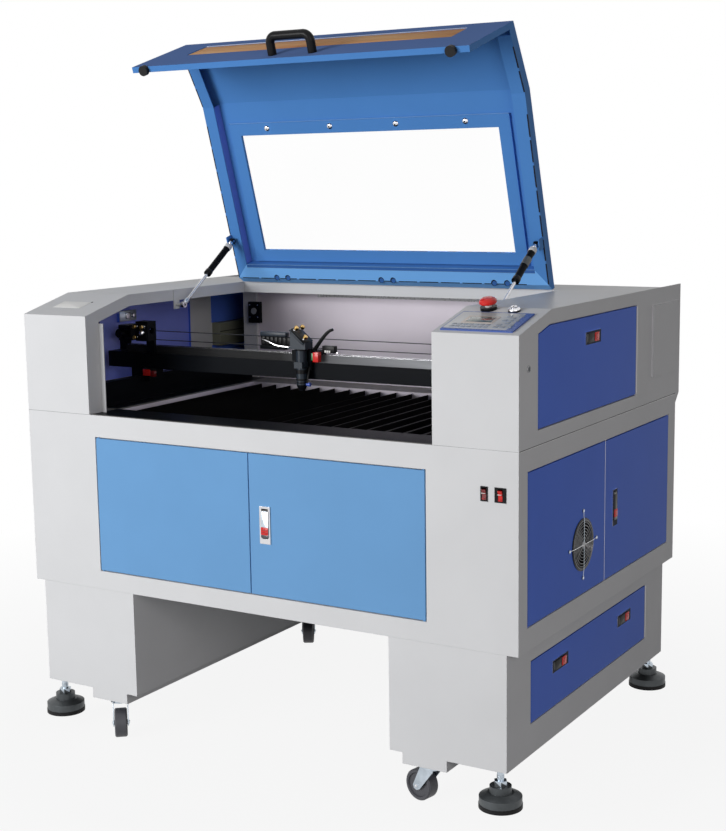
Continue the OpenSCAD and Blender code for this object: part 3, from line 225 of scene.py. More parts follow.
FINISH = {
    "grey": ["lower_cabinet", "legs", "left_housing", "right_housing", "rear_cover", "tube_covers"],
    "sky": ["front_door_left", "front_door_right"],
    "navy": ["right_front_door", "right_rear_door", "right_upper_door", "left_upper_door", "right_leg_panel"],
    "lid": ["lid_shell", "window_trim"],
    "black": ["gantry_drive", "gantry_beam", "fixed_mirror", "left_strut_cylinder",
              "right_strut_cylinder", "y_rails"],
    "bed": ["blade_bed"],
    "plastic": ["fan_frame", "fan_rotor", "switch_bezels", "lid_handle"],
    "rubber": ["lid_bumpers"],
    "tread": [],
    "steel": ["left_strut_rod", "right_strut_rod"],
    "zinc": ["power_supply"],
    "chrome": ["front_latch", "right_rear_latch", "right_upper_latch", "right_leg_latches", "key_switch"],
    "lever": ["front_latch_handle", "right_rear_latch_handle", "right_upper_latch_handle",
              "right_leg_handle_front", "right_leg_handle_rear"],
    "red": ["estop_button", "power_rocker"],
    "dark_red": ["lamp_rocker"],
    "window": ["lid_windows"],
    "glass": ["laser_tube"],
    "panel": ["control_panel"],
    "lamp": ["work_lamp"],
    "head": ["laser_head"],
    "foot": [],
}
CORNERS = ("front_left", "front_right", "rear_left", "rear_right")
for corner in CORNERS:
    FINISH["zinc"].append("caster_fork_" + corner)
    FINISH["tread"].append("caster_wheel_" + corner)
    FINISH["foot"].append("levelling_foot_" + corner)
for key, names in FINISH.items():
    for name in names:
        NODES[name].data.materials.clear()
        NODES[name].data.materials.append(M[key])


def touch(node, key, chosen):
    """Gives another finish to a CAD node's faces whose centre, in millimetres, and normal are chosen."""
    mesh = NODES[node].data
    mesh.materials.append(M[key])
    for face in mesh.polygons:
        if chosen(face.center * 1000, face.normal):
            face.material_index = len(mesh.materials) - 1


# ---------------------------------------------------------------- shapes

def place(origin, x, y):
    """A frame at origin, in millimetres, with those two axes. Its z is x cross y."""
    x, y = Vector(x).normalized(), Vector(y).normalized()
    return Matrix.Translation(origin) @ Matrix((x, y, x.cross(y))).transposed().to_4x4()


class Form:
    """Solids gathered into one piece, in millimetres of a frame, each with its finish."""

    def __init__(self, at=None):
        self.at = at or Matrix.Identity(4)
        self.all = bmesh.new()
        self.keys = []

    def take(self, part, key, bevel=0.0, at=None):
        """Adds a solid, with its sharp edges rounded by bevel."""
        bmesh.ops.recalc_face_normals(part, faces=part.faces)
        if bevel:
            sharp = [e for e in part.edges if len(e.link_faces) == 2 and e.calc_face_angle(0) > 0.6]
            bmesh.ops.bevel(part, geom=sharp, offset=bevel, segments=2, profile=0.5, affect="EDGES",
                            clamp_overlap=True)
        part.transform(self.at @ (at or Matrix.Identity(4)))
        if key not in self.keys:
            self.keys.append(key)
        for face in part.faces:
            face.material_index = self.keys.index(key)
        mesh = bpy.data.meshes.new("part")
        part.to_mesh(mesh)
        part.free()
        self.all.from_mesh(mesh)
        bpy.data.meshes.remove(mesh)
        return self

    def prism(self, outline, low, high, key, bevel=0.4, at=None):
        """An outline in x and y, from low to high in z."""
        part = bmesh.new()
        rings = [[part.verts.new((x, y, z)) for x, y in outline] for z in (low, high)]
        part.faces.new(rings[0][::-1])
        part.faces.new(rings[1])
        count = len(outline)
        for i in range(count):
            j = (i + 1) % count
            part.faces.new((rings[0][i], rings[0][j], rings[1][j], rings[1][i]))
        return self.take(part, key, bevel, at)

    def block(self, low, high, key, bevel=0.4, at=None):
        (x0, y0, z0), (x1, y1, z1) = low, high
        return self.prism([(x0, y0), (x1, y0), (x1, y1), (x0, y1)], z0, z1, key, bevel, at)

    def pad(self, x, y, w, h, low, high, key, radius=2.0, at=None):
        """A plate centred on x, y with rounded corners."""
        outline = []
        for turn, (sx, sy) in enumerate(((1, 1), (-1, 1), (-1, -1), (1, -1))):
            for step in range(5):
                a = math.pi / 2 * (turn + step / 4)
                outline.append((x + sx * (w / 2 - radius) + radius * math.cos(a),
                                y + sy * (h / 2 - radius) + radius * math.sin(a)))
        return self.prism(outline, low, high, key, min(0.25, (high - low) / 3), at)

    def turned(self, profile, key, x=0.0, y=0.0, sides=40, closed=False, at=None):
        """A profile of (radius, z) turned about the z axis at x, y. A closed one makes a ring."""
        part = bmesh.new()
        rings = []
        for r, z in profile:
            if r < 1e-6:
                rings.append([part.verts.new((x, y, z))] * sides)
            else:
                rings.append([part.verts.new((x + r * math.cos(t), y + r * math.sin(t), z))
                              for t in (2 * math.pi * i / sides for i in range(sides))])
        pairs = list(zip(rings, rings[1:])) + ([(rings[-1], rings[0])] if closed else [])
        for a, b in pairs:
            for i in range(sides):
                j = (i + 1) % sides
                corners = list(dict.fromkeys((a[i], a[j], b[j], b[i])))
                if len(corners) > 2:
                    part.faces.new(corners)
        return self.take(part, key, 0, at)

    def wire(self, points, radius, key, sides=10, closed=False, at=None, ends=None):
        """A round wire through points, with flat ends. ends gives another radius at its far end."""
        part = bmesh.new()
        points = [Vector(p) for p in points]
        count = len(points)
        side = None
        rings = []
        for i, p in enumerate(points):
            before = points[i - 1] if i or closed else p
            after = points[(i + 1) % count] if i < count - 1 or closed else p
            along = (after - before).normalized()
            if side is None:
                side = along.orthogonal().normalized()
            side = (side - along * side.dot(along)).normalized()
            other = along.cross(side)
            r = radius + ((ends - radius) * i / (count - 1) if ends else 0)
            rings.append([part.verts.new(p + (side * math.cos(t) + other * math.sin(t)) * r)
                          for t in (2 * math.pi * k / sides for k in range(sides))])
        pairs = list(zip(rings, rings[1:])) + ([(rings[-1], rings[0])] if closed else [])
        for a, b in pairs:
            for k in range(sides):
                j = (k + 1) % sides
                part.faces.new((a[k], a[j], b[j], b[k]))
        if not closed:
            part.faces.new(rings[0][::-1])
            part.faces.new(rings[-1])
        return self.take(part, key, 0, at)

    def done(self, name, body, slot=None):
        """Makes the piece, in metres, riding on a body."""
        mesh = bpy.data.meshes.new(name)
        self.all.transform(Matrix.Scale(0.001, 4))
        self.all.to_mesh(mesh)
        self.all.free()
        for key in self.keys:
            mesh.materials.append(M[key])
        mesh.shade_smooth()
        mesh.set_sharp_from_angle(angle=math.radians(35))
        piece = bpy.data.objects.new(name, mesh)
        bpy.context.scene.collection.objects.link(piece)
        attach(piece, body)
        return piece


def smooth_path(points, steps=6):
    """A smooth curve through points."""
    points = [Vector(p) for p in points]
    ends = [2 * points[0] - points[1]] + points + [2 * points[-1] - points[-2]]
    path = []
    for a, b, c, d in zip(ends, ends[1:], ends[2:], ends[3:]):
        for i in range(steps):
            t = i / steps
            path.append(0.5 * (2 * b + (c - a) * t + (2 * a - 5 * b + 4 * c - d) * t ** 2
                               + (3 * b - a - 3 * c + d) * t ** 3))
    return path + [points[-1]]


# ---------------------------------------------------------------- frames of the machine, in millimetres

CAB_LO, CAB_HI = mm_box("lower_cabinet")
HALF_W = CAB_HI.x
FRONT_Y = CAB_LO.y
SEAM_Z = CAB_HI.z
POD_TOP = mm_box("left_housing")[1].z
PIN = Vector(JOINTS["lid_hinge"]["pos_m"]) * 1000
LID_OPEN = math.radians(JOINTS["lid_hinge"]["range_deg"][1])
PIN_BACK, PIN_UP = 1.0, 1.5
LID_ALONG = Vector((0, -math.cos(LID_OPEN), math.sin(LID_OPEN)))
LID_IN = Vector((0, -math.sin(LID_OPEN), -math.cos(LID_OPEN)))
LID_LO, LID_HI = mm_box("lid_shell")
LID_ORIGIN = Vector((0, PIN.y, PIN.z)) + LID_ALONG * PIN_BACK + LID_IN * PIN_UP
LID = place(LID_ORIGIN, (1, 0, 0), LID_ALONG)
LID_WALL = 30.0
CORNER_S, CORNER_N = 688.0, 43.9
FLAP_ORIGIN = LID_ORIGIN + LID_ALONG * CORNER_S + LID_IN * CORNER_N
FLAP = place(FLAP_ORIGIN, (1, 0, 0), LID_IN)
SLOPE_RISE, SLOPE_RUN = 43.0, 169.0
STOP_X, STOP_RUN = 555, 157
SLOPE = place((0, FRONT_Y, POD_TOP - SLOPE_RISE), (1, 0, 0), (0, SLOPE_RUN, SLOPE_RISE))
FRONT = place((0, FRONT_Y, 0), (1, 0, 0), (0, 0, 1))
RIGHT = place((HALF_W, 0, 0), (0, 1, 0), (0, 0, 1))
LEG = place((mm_box("legs")[1].x, 0, 0), (0, 1, 0), (0, 0, 1))


# ---------------------------------------------------------------- lid

def lid_details():
    """Fold slots, adjusting holes, brighter strips over the shaded cavities, the hem's painted highlights,
    window band with a painted highlight line, trim screws, and the strip's film and rim.
    """
    x0, x1 = LID_LO.x, LID_HI.x
    face = LID_WALL
    slots = Form(LID)
    dash, gap = 56.0, 8.0
    bend = 511.7
    slope = place((0, bend, face), (1, 0, 0), (0, 0.969, 0.2466))
    for low, high in ((x0 - 0.15, x0 + 3), (x1 - 3, x1 + 0.15)):
        s = 20.0
        while s + dash < bend:
            slots.block((low, s, face - 1.6), (high, s + dash, face + 0.15), "void", 0)
            s += dash + gap
        for t in (3.0, 3.0 + dash + gap):
            slots.block((low, t, -1.6), (high, t + dash, 0.15), "void", 0, slope)
    x = x0 + 14
    while x + dash < x1 - 10:
        slots.block((x, 17.2, face - 1.0), (x + dash, 19.6, face + 0.15), "void", 0)
        x += dash + gap
    for mid in (-333.5, 7.0, 345.0):
        for side in (-1, 1):
            cx = mid + side * 18.5
            slots.turned([(0, 22), (8.5, 22), (8.5, face + 0.2), (0, face + 0.2)], "void", cx, 21)
            slots.turned([(0, 22), (6.6, 22), (6.6, face + 0.4), (0, face + 0.4)], "lid_dark", cx + 1.2, 20.0)
    slots.done("lid_fold_slots", "lid", "lid_blue")

    # strips close the shaded cavities under the side flanges; their brighter violet blue is painted light
    walls = Form(LID)
    walls.block((x0 + 34.6, 59.5, 1.6), (x0 + 36, bend, face - 1.6), "lid_lit_violet", 0)
    walls.block((x1 - 36, 59.5, 1.6), (x1 - 34.6, bend, face - 1.6), "lid_lit_violet", 0)
    walls.done("lid_lit_strips", "lid", "lid_blue")

    hem = Form(LID)
    # the rounded hem is drawn flat: two painted highlight lines in pale blue, with the darker, shaded lid
    # blue between
    hem.block((-447, 49.0, face), (446, 50.0, face + 0.4), "lid_highlight", 0)
    hem.block((-447, 50.0, face), (446, 58.2, face + 0.2), "lid_dark", 0)
    hem.block((-447, 58.2, face - 0.6), (446, 59.2, face + 0.5), "lid_highlight", 0)
    hem.done("lid_hem_painted_highlights", "lid", "lid_blue")

    trim_lo, trim_hi = mm_box("window_trim")
    mid = (trim_lo.x + trim_hi.x) / 2
    wide = 33.0
    left, right, low, high = trim_lo.x + wide, trim_hi.x - wide, 95.0, 427.0
    top = 8.1
    band = Form(LID)
    band.block((left - 10, low - 10, top), (right + 10, low, top + 0.2), "lid_dark", 0)
    band.block((right, low, top), (right + 10, high + 10, top + 0.2), "lid_dark", 0)
    band.block((left - 10.8, low - 10.8, top), (right + 10.8, low - 10, top + 0.3), "void", 0)
    band.block((right + 10, low - 10, top), (right + 10.8, high + 10, top + 0.3), "void", 0)
    for x, s, dx, ds in ((left, low, -1, -1), (right, low, 1, -1), (left, high, -1, 1), (right, high, 1, 1)):
        band.wire([(x, s, top), (x + dx * wide, s + ds * wide, top)], 0.35, "void", 6)
    # pale line along the trim's top: a painted highlight
    band.block((left - wide, high + wide - 1.6, top), (right + wide, high + wide, top + 0.2), "lid_highlight", 0)
    band.done("window_band", "lid", "lid_blue")
    screws = Form(LID)
    for k in (-1.5, -0.5, 0.5, 1.5):
        screws.turned([(8.6, 8.2), (8.6, 8.8), (7.6, 10.6), (5.4, 12.2), (2.8, 12.9), (0, 13.1)], "chrome",
                      mid + k * 200, high + wide / 2, 32)
        screws.turned([(0, 13.3), (2.2, 13.3), (2.2, 12.9), (0, 12.9)], "void",
                      mid + k * 200, high + wide / 2, 6)
    screws.done("trim_screws", "lid", "latch_chrome")

    film = Form(FLAP)
    film.pad(-1.5, 90, 764, 88, 1.2, 2.0, "kraft", 1.0)
    film.done("strip_film", "lid")
    edge = Form(FLAP)
    edge.block((-383.5, 42.8, -0.25), (380.5, 45.3, 0.3), "white", 0.1)
    edge.done("strip_rim", "lid", "lid_blue")


def strut_details():
    """End caps, seals and sockets of the gas struts, and the plain sticker on the right one."""
    for side in ("left", "right"):
        lo, hi = mm_box(side + "_strut_cylinder")
        swing = Vector(JOINTS[side + "_strut_swing"]["pos_m"]) * 1000
        rod_lo = mm_box(side + "_strut_rod")[0]
        foot = Vector((swing.x, rod_lo.y + 8, rod_lo.z + 8))
        along = (foot - swing).normalized()
        out = Vector((1, 0, 0))
        at = place(swing, out, along.cross(out))
        radius = (hi.x - lo.x) / 2
        tube = Form(at)
        tube.turned([(6.2, 9), (7.2, 8), (7.2, 16), (6.2, 17), (0, 17)], "chrome")
        inner = radius - 0.3
        tube.turned([(inner, 20), (radius + 0.35, 21), (radius + 0.35, 34), (inner, 35)], "label")
        tube.turned([(inner, 135), (radius + 0.4, 136), (radius + 0.4, 148), (inner, 149)], "plastic")
        if side == "right":
            tube.turned([(inner, 60), (radius + 0.18, 60), (radius + 0.18, 88), (inner, 88)], "foot")
        tube.done(side + "_strut_seals", side + "_strut_tube", "black_plastic")
        end = Form(at)
        length = (foot - swing).length
        end.turned([(0, length - 22), (6.6, length - 21), (6.6, length - 9), (5, length - 7),
                    (0, length - 7)], "zinc")
        end.done(side + "_strut_socket", side + "_strut_piston", "zinc_steel")


# ---------------------------------------------------------------- console and housings

def console_details():
    """Membrane, keys and display of the console, bezel of the key switch."""
    x0, x1 = 505.0, 678.0
    top = 3.0
    board = Form(SLOPE)
    board.pad((x0 + x1 - 16) / 2, 75.5, x1 - x0 - 20, 105, top, top + 0.35, "membrane", 4)
    board.pad(573, 80, 78, 46, top + 0.35, top + 0.9, "cream", 2)
    board.pad(573, 80, 62, 32, top + 0.9, top + 1.1, "screen", 1)
    for y in (38, 52):
        for column in range(7):
            x = 524 + column * 13.5
            board.pad(x, y - 3, 11, 9, top + 0.35, top + 0.6, "key_blue", 1.5)
            board.pad(x, y - 3, 9, 7, top + 0.6, top + 0.85, "key", 1.2)
    for x, y in ((644, 96), (644, 66), (630, 81), (658, 81), (644, 81), (630, 52), (658, 52), (630, 109),
                 (658, 109), (644, 38), (628, 38), (660, 38)):
        board.pad(x, y, 12, 11, top + 0.35, top + 0.6, "key_blue", 2)
        board.pad(x, y, 9.6, 8.6, top + 0.6, top + 0.9, "key", 2)
    board.done("console_keys", "cabinet", "panel_blue")
    key = Form(SLOPE)
    key.turned([(9.7, 4.0), (13.5, 4.0), (13.5, 5.2), (11.5, 8.2), (9.7, 9.0)], "chrome", 621, 150, 40, True)
    key.done("key_bezel", "cabinet", "latch_chrome")


def housing_details():
    """Blank plate on the left slope, side lock, seams of the housings with a painted highlight line beneath,
    and painted highlights along the edges of bent sheet.
    """
    plate = Form(SLOPE)
    plate.pad(-606, 81.5, 90, 47, 0.0, 0.5, "white", 2)
    plate.turned([(0, 0.5), (3, 0.5), (3, 0.9), (0, 0.9)], "void", -557, 104, 20)
    plate.done("blank_plate", "cabinet", "cabinet_grey")
    lock = Form(RIGHT)
    lock.turned([(6.4, 0), (8.5, 0), (8.5, 0.8), (7.8, 1.6), (6.4, 1.6)], "guard", -446, 1021, 32, True)
    lock.turned([(0, 0), (6.4, 0), (6.4, 1.2), (0, 1.2)], "foot", -446, 1021, 24)
    lock.block((-446.8, 1017.6, 1.2), (-445.2, 1024.4, 1.6), "void", 0.1)
    lock.done("side_lock", "cabinet", "latch_chrome")

    seam = Form()
    for x0, x1 in ((HALF_W, HALF_W + 0.25), (-HALF_W - 0.25, -HALF_W)):
        seam.block((x0, FRONT_Y + 2, SEAM_Z - 0.7), (x1, 493, SEAM_Z + 0.7), "void", 0)
        # the white line just beneath the dark seam line is a painted highlight
        seam.block((x0, FRONT_Y + 2, SEAM_Z - 1.9), (x1, 493, SEAM_Z - 0.7), "white", 0)
    for x0, x1 in ((-HALF_W, mm_box("left_housing")[1].x), (mm_box("right_housing")[0].x, HALF_W)):
        seam.block((x0 + 1, FRONT_Y - 0.2, SEAM_Z - 0.5), (x1 - 1, FRONT_Y, SEAM_Z + 0.4), "guard", 0)
    seam.done("housing_seam", "cabinet", "cabinet_grey")

    # thin mirror strips beside door and cover edges: painted highlights
    edges = Form()
    for name in ("right_upper_door", "right_front_door"):
        lo, hi = mm_box(name)
        edges.block((HALF_W, hi.y + 0.2, lo.z + 1), (HALF_W + 0.2, hi.y + 1.6, hi.z - 1), "glint", 0)
    lo, hi = mm_box("right_leg_panel")
    side = mm_box("legs")[1].x
    edges.block((side, hi.y + 0.2, lo.z + 1), (side + 0.2, hi.y + 1.6, hi.z - 1), "glint", 0)
    lo, hi = mm_box("tube_covers")
    edges.block((HALF_W, lo.y - 1.4, lo.z), (HALF_W + 0.3, lo.y + 0.8, hi.z), "glint", 0)
    edges.block((HALF_W, lo.y, hi.z - 0.6), (HALF_W + 0.3, hi.y, hi.z + 0.6), "glint", 0)
    edges.done("painted_edge_glints", "cabinet", "cabinet_grey")


# ---------------------------------------------------------------- gantry and head

BEAM_LO, BEAM_HI = mm_box("gantry_beam")
HEAD_LO, HEAD_HI = mm_box("laser_head")
OPTICS_Z = 1037.0
OPTICS_Y = -232.0
BEAM_TOP = 974.0
RELAY_X = -515
BACK_WALL_Y = 301


def thumb_screw(form, at, spring=9.0):
    """A knurled brass screw on its spring, along the frame's z."""
    form.turned([(0, 0), (2.4, 0), (2.4, spring), (5.6, spring), (5.9, spring + 0.6), (5.9, spring + 7.4),
                 (5.4, spring + 8), (0, spring + 8)], "brass", 0, 0, 18, at=at)
    turns = [(3.6 * math.cos(a), 3.6 * math.sin(a), spring * a / (2 * math.pi * 4))
             for a in (2 * math.pi * i / 12 for i in range(49))]
    form.wire(turns, 0.5, "steel", 6, at=at)


def head_details():
    """Angled mirror mount, air hose, connector, barrel rings and air fitting of the laser head."""
    x = (HEAD_LO.x + HEAD_HI.x) / 2
    mount = Form()
    tilt = math.radians(40)
    slant = place((x - 1, OPTICS_Y - 2, OPTICS_Z + 2.4), (0, 1, 0), (-math.cos(tilt), 0, math.sin(tilt)))
    plate = [(-22, -27), (22, -27), (22, 27), (-22, 27)]
    mount.prism(plate, 0.5, 4.0, "head", 0.6, slant)
    mount.prism([(-20, -25), (20, -25), (20, 25), (-20, 25)], 6.0, 9.0, "plastic", 0.6, slant)
    for u, v in ((-14, 17), (14, 17), (-14, -17)):
        thumb_screw(mount, slant @ Matrix.Translation((u, v, 9)), 4.0)
        mount.turned([(0, 3.8), (2.2, 3.8), (2.2, 6.2), (0, 6.2)], "brass", u, v, 12, at=slant)
    mount.done("mirror_mount", "head", "head_blue")

    barrel = Form(Matrix.Translation((x, OPTICS_Y, 0)))
    for low, high, radius in ((1006, 1010, 15.0), (962, 965, 14.2), (948, 958, 14.6), (931, 935, 15.0),
                              (924, 927, 14.4)):
        barrel.turned([(13, low), (radius - 0.5, low), (radius, low + 0.6), (radius, high - 0.6),
                       (radius - 0.5, high), (13, high)], "plastic")
    barrel.turned([(7.0, 920), (13.2, 919.4), (13.4, 916), (8.6, 908.2), (7.6, 906.4), (7.0, 906.4)], "black")
    barrel.done("lens_barrel", "head", "black_paint")

    side = Form()
    hose = smooth_path([(x + 18, -204, 1000), (x + 26, -203, 1012), (x + 40, -202, 1030),
                        (x + 54, -201, 1046), (x + 64, -200, 1054), (x + 74, -200, 1058)])
    side.wire(hose, 5.4, "rubber", 16, ends=3.6)
    side.wire(smooth_path([(x + 18, -204, 1002), (x + 13, -210, 985), (x + 16, -222, 960),
                           (x + 17, -230, 940), (x + 16, -232, 926)]), 2.4, "rubber", 10)
    side.turned([(0, 0), (3.4, 0), (3.4, 7), (5, 7), (5, 12), (0, 12)], "blue_plastic", 0, 0, 16,
                at=place((x + 13, -232, 921), (0, 1, 0), (0, 0, 1)))
    side.block((x + 33, -232, 978), (x + 49, -217, 1003), "red", 0.8)
    side.block((x + 28, -231, 982), (x + 33.4, -218, 1000), "green", 0.8)
    side.block((x + 38, -207, 999), (x + 92, -203, 1002), "steel", 0.4)
    side.block((x + 50, -214, 1000), (x + 86, -200, 1018), "plastic", 0.8)
    for k in range(3):
        side.block((x + 58 + k * 6, -216, 1001), (x + 62.5 + k * 6, -214, 1007), "white", 0.5)
    side.done("head_air_hose", "head", "black_plastic")


def gantry_details():
    """Relay mirror with its screws, end stop, guide screws, and the cable arm that rides with the head."""
    relay = Form()
    face = place((RELAY_X, -252, OPTICS_Z - 2), (1, 0, 0), (0, 0, 1))
    relay.block((-19, -22, 0), (19, 22, 4), "black", 0.6, face)
    for u, v in ((-12, 14), (12, 14), (-12, -14)):
        thumb_screw(relay, face @ Matrix.Translation((u, v, 4)), 5)
    relay.turned([(0, 4), (7.0, 4), (8, 6), (7.4, 10), (4.6, 13), (0, 14)], "chrome", 8, -2, 28, at=face)
    relay.done("relay_mount", "gantry", "black_paint")

    stop = Form()
    stop.block((-536, -226, 914), (-512, -214, 931), "red", 0.8)
    stop.block((-511, -225, 912), (-498, -215, 928), "dark_red", 0.8)
    stop.block((-538, -224, 928), (-500, -213, 933), "plastic", 0.6)
    stop.done("end_stop", "gantry", "red_plastic")

    rail = Form()
    for k in range(18):
        px = -560 + k * 65
        rail.turned([(0, 994), (4.2, 994), (4.2, 994.5), (2.4, 994.6), (0, 994.2)], "void", px, -196, 16)
    rail.block((BEAM_LO.x + 62, -205.5, 994.0), (BEAM_HI.x - 62, -203.5, 994.5), "steel", 0.1)
    rail.block((BEAM_LO.x + 62, -188.5, 994.0), (BEAM_HI.x - 62, -186.5, 994.5), "steel", 0.1)
    rail.done("guide_screws", "gantry", "bright_steel")

    arm = Form()
    x = HEAD_LO.x
    for k in range(9):
        lx = x - 4 - k * 13
        arm.block((lx - 12, -178, 1008), (lx, -163, 1031), "plastic", 1.2)
        arm.block((lx - 13.4, -176, 1011), (lx - 10, -165, 1028), "black", 0.4)
    arm.block((x - 121, -180, 1031), (x - 42, -162, 1042), "head", 1.0)
    arm.block((x - 121, -182, 998), (x - 42, -162, 1008), "black", 1.0)
    arm.wire(smooth_path([(x - 112, -184, 1024), (x - 90, -187, 1018), (x - 60, -188, 1009),
                          (x - 8, -186, 1006)]), 2.2, "chrome", 10)
    arm.block((x - 8, -180, 986), (x + 6, -160, 1040), "head", 0.8)
    arm.done("cable_arm", "head", "black_plastic")


def bay_details():
    """What shows through the open lid: thin black plates on the deck, catch, bracket, mirror glass, duct,
    lamp lead and clips.
    """
    # thin black plates laid on the deck where it looks dark
    dark_plates = Form()
    dark_plates.block((-492, -482, SEAM_Z + 0.05), (488, -387, SEAM_Z + 0.4), "black", 0)
    dark_plates.block((-541, -386, SEAM_Z + 0.05), (-496, 290, SEAM_Z + 0.4), "black", 0)
    dark_plates.done("deck_dark_plates", "cabinet", "black_paint")
    wall = mm_box("left_upper_door")[1].x
    catch = Form()
    catch.block((wall, -135, 1045), (wall + 3, -63, 1075), "zinc", 0.8)
    catch.block((wall + 3, -112, 1051), (wall + 7, -92, 1069), "steel", 0.8)
    catch.turned([(0, 0), (6, 0), (6.4, 2), (5, 5), (0, 6)], "chrome", 0, 0, 20,
                 at=place((wall + 3, -80, 1060), (0, 1, 0), (0, 0, 1)))
    catch.done("door_catch", "left_upper_leaf", "latch_chrome")

    bracket = Form()
    bracket.block((-522, -444, 995), (-496, -438, 1085), "black", 0.8)
    bracket.block((-522, -492, 1000), (-516, -442, 1040), "black", 0.8)
    for z in (1015, 1062):
        bracket.turned([(0, 0), (6.5, 0), (6.5, 4), (4, 6.5), (0, 7)], "brass", 0, 0, 20,
                       at=place((-509, -444, z), (1, 0, 0), (0, 0, 1)))
    bracket.done("mirror_bracket", "cabinet", "black_paint")

    lo, hi = mm_box("fixed_mirror")
    disc = Form(place(((lo.x + hi.x) / 2, lo.y, (lo.z + hi.z) / 2 + 4), (1, 0, 0), (0, 0, 1)))
    disc.turned([(0, -2), (9.4, -2), (9.6, 0.6), (8.6, 1.2), (8.0, 0.5), (0, 0.5)], "key", 0, 0, 32)
    for x, y in ((-14, 18), (14, 18), (-14, -18), (14, -18)):
        disc.turned([(0, 0), (2, 0), (1.8, 0.8), (0, 1)], "zinc", x, y, 12)
    disc.done("fixed_mirror_glass", "cabinet", "black_paint")

    duct = Form()
    inner = -HALF_W + 2
    duct.block((inner, 306, 935), (inner + 31, 500, 1004), "olive", 1.0)
    duct.block((inner + 30.8, 306, 977), (inner + 31.3, 500, 979), "void", 0)
    duct.block((inner, 303, 1004), (inner + 1, 505, 1120), "navy", 0.3)
    duct.block((inner, 303, 852), (inner + 1, 505, 935), "navy", 0.3)
    duct.done("bay_duct", "cabinet", "cabinet_grey")

    lo, hi = mm_box("work_lamp")
    lead = Form()
    for x in (lo.x - 3, hi.x + 3):
        lead.block((x - 5, lo.y + 1, lo.z - 1), (x + 5, hi.y - 0.2, hi.z + 2), "lamp", 1.0)
        lead.turned([(0, 0), (2.6, 0), (2.6, 1), (1.2, 1.8), (0, 1.8)], "void", 0, 0, 12,
                    at=place((x, lo.y + 1, lo.z + 10), (1, 0, 0), (0, 0, 1)))
    wire = smooth_path([(lo.x - 8, hi.y - 3, hi.z - 6), (lo.x - 30, hi.y - 2, hi.z - 2),
                        (lo.x - 70, hi.y - 2, hi.z + 1), (lo.x - 120, hi.y - 2, hi.z + 1),
                        (lo.x - 165, hi.y - 2, hi.z + 1)])
    lead.wire(wire, 1.3, "rubber", 8)
    for x in (lo.x - 60, lo.x - 120):
        lead.block((x - 3, hi.y - 4, hi.z - 3), (x + 3, hi.y - 0.2, hi.z + 4), "white", 0.5)
    lead.done("lamp_clips", "cabinet", "lamp_aluminium")


# ---------------------------------------------------------------- doors, latches, switches

def latch_details():
    """Lever face with its red push block on every flush latch; the side latches' blocks use a brighter red,
    painted light.
    """
    at = {
        "front_latch": (FRONT, "front_latch_handle", "front_latch_lever", False),
        "right_rear_latch": (RIGHT, "right_rear_latch_handle", "rear_latch_lever", False),
        "right_upper_latch": (RIGHT, "right_upper_latch_handle", "upper_latch_lever", True),
        "leg_front": (LEG, "right_leg_handle_front", "leg_latch_lever_front", True),
        "leg_rear": (LEG, "right_leg_handle_rear", "leg_latch_lever_rear", True),
    }
    for name, (face, lever, body, lying) in at.items():
        lo, hi = mm_box(lever)
        back = face.inverted()
        a, b = back @ lo, back @ hi
        u0, u1 = sorted((a.x, b.x))
        v0, v1 = sorted((a.y, b.y))
        top = max(a.z, b.z)
        turn = face @ Matrix.Translation(((u0 + u1) / 2, (v0 + v1) / 2, top))
        if lying:
            turn = turn @ Matrix.Rotation(math.pi / 2, 4, "Z")
        w, h = 22.0, 69.0
        cover = Form(turn)
        cover.pad(0, -2, w - 1, h - 5, 0, 0.5, "zinc" if name == "front_latch" else "plastic", 1.5)
        # the lying latches and the upright one on the right side get the brighter red copy: painted light
        if lying:
            cover.pad(0, -h / 2 + 14, w - 1.5, 25, 0.5, 1.6, "red_side_lit", 2)
        elif face is RIGHT:
            cover.pad(0, -h / 2 + 17, w - 1.5, 19, 0.5, 1.6, "red_side_lit", 2)
        else:
            cover.pad(0, -h / 2 + 17, w - 1.5, 19, 0.5, 1.6, "red", 2)
        cover.block((-w / 2 + 3, -h / 2 + 13, 1.6), (w / 2 - 3, -h / 2 + 14, 1.9), "dark_red", 0.1)
        cover.block((-w / 2 + 3, -h / 2 + 19, 1.6), (w / 2 - 3, -h / 2 + 20, 1.9), "dark_red", 0.1)
        if not lying:
            cover.pad(0, -h / 2 + 4, w - 1.5, 6, 0.5, 1.4, "lever", 1)
        cover.done(name + "_push", body, "red_plastic")


def fan_details():
    """Finger guard of wire rings and four spokes, with its lugs and screws."""
    lo, hi = mm_box("fan_frame")
    face = place((hi.x, (lo.y + hi.y) / 2, (lo.z + hi.z) / 2), (0, 1, 0), (0, 0, 1))
    guard = Form(face)
    for radius in (10, 17, 24, 31, 38, 45, 52, 58):
        ring = [(radius * math.cos(a), radius * math.sin(a), 0.9)
                for a in (2 * math.pi * i / 48 for i in range(48))]
        guard.wire(ring, 0.6, "guard", 6, True)
    guard.turned([(0, 0.2), (7.5, 0.2), (8, 1.0), (6.5, 2.2), (0, 2.6)], "guard")
    for k in range(4):
        spin = Matrix.Rotation(k * math.pi / 2, 4, "Z")
        # the spokes are one wire; the two along one line are chrome, a painted highlight, the others zinc
        guard.wire([(6, 0, 2.0), (60, 0, 2.0), (70, 0, 0.6), (78, 0, 0.4)], 0.7,
                   "chrome" if k % 2 == 0 else "zinc", 8, at=spin)
        guard.turned([(2.6, -1.0), (4.4, -1.0), (4.4, 0.6), (2.6, 0.6)], "guard", 81, 0, 20, True, at=spin)
        guard.turned([(0, 0.4), (3.2, 0.4), (2.8, 1.6), (0, 2.0)], "zinc", 81, 0, 20, at=spin)
    guard.done("fan_guard", "right_front_leaf", "latch_chrome")


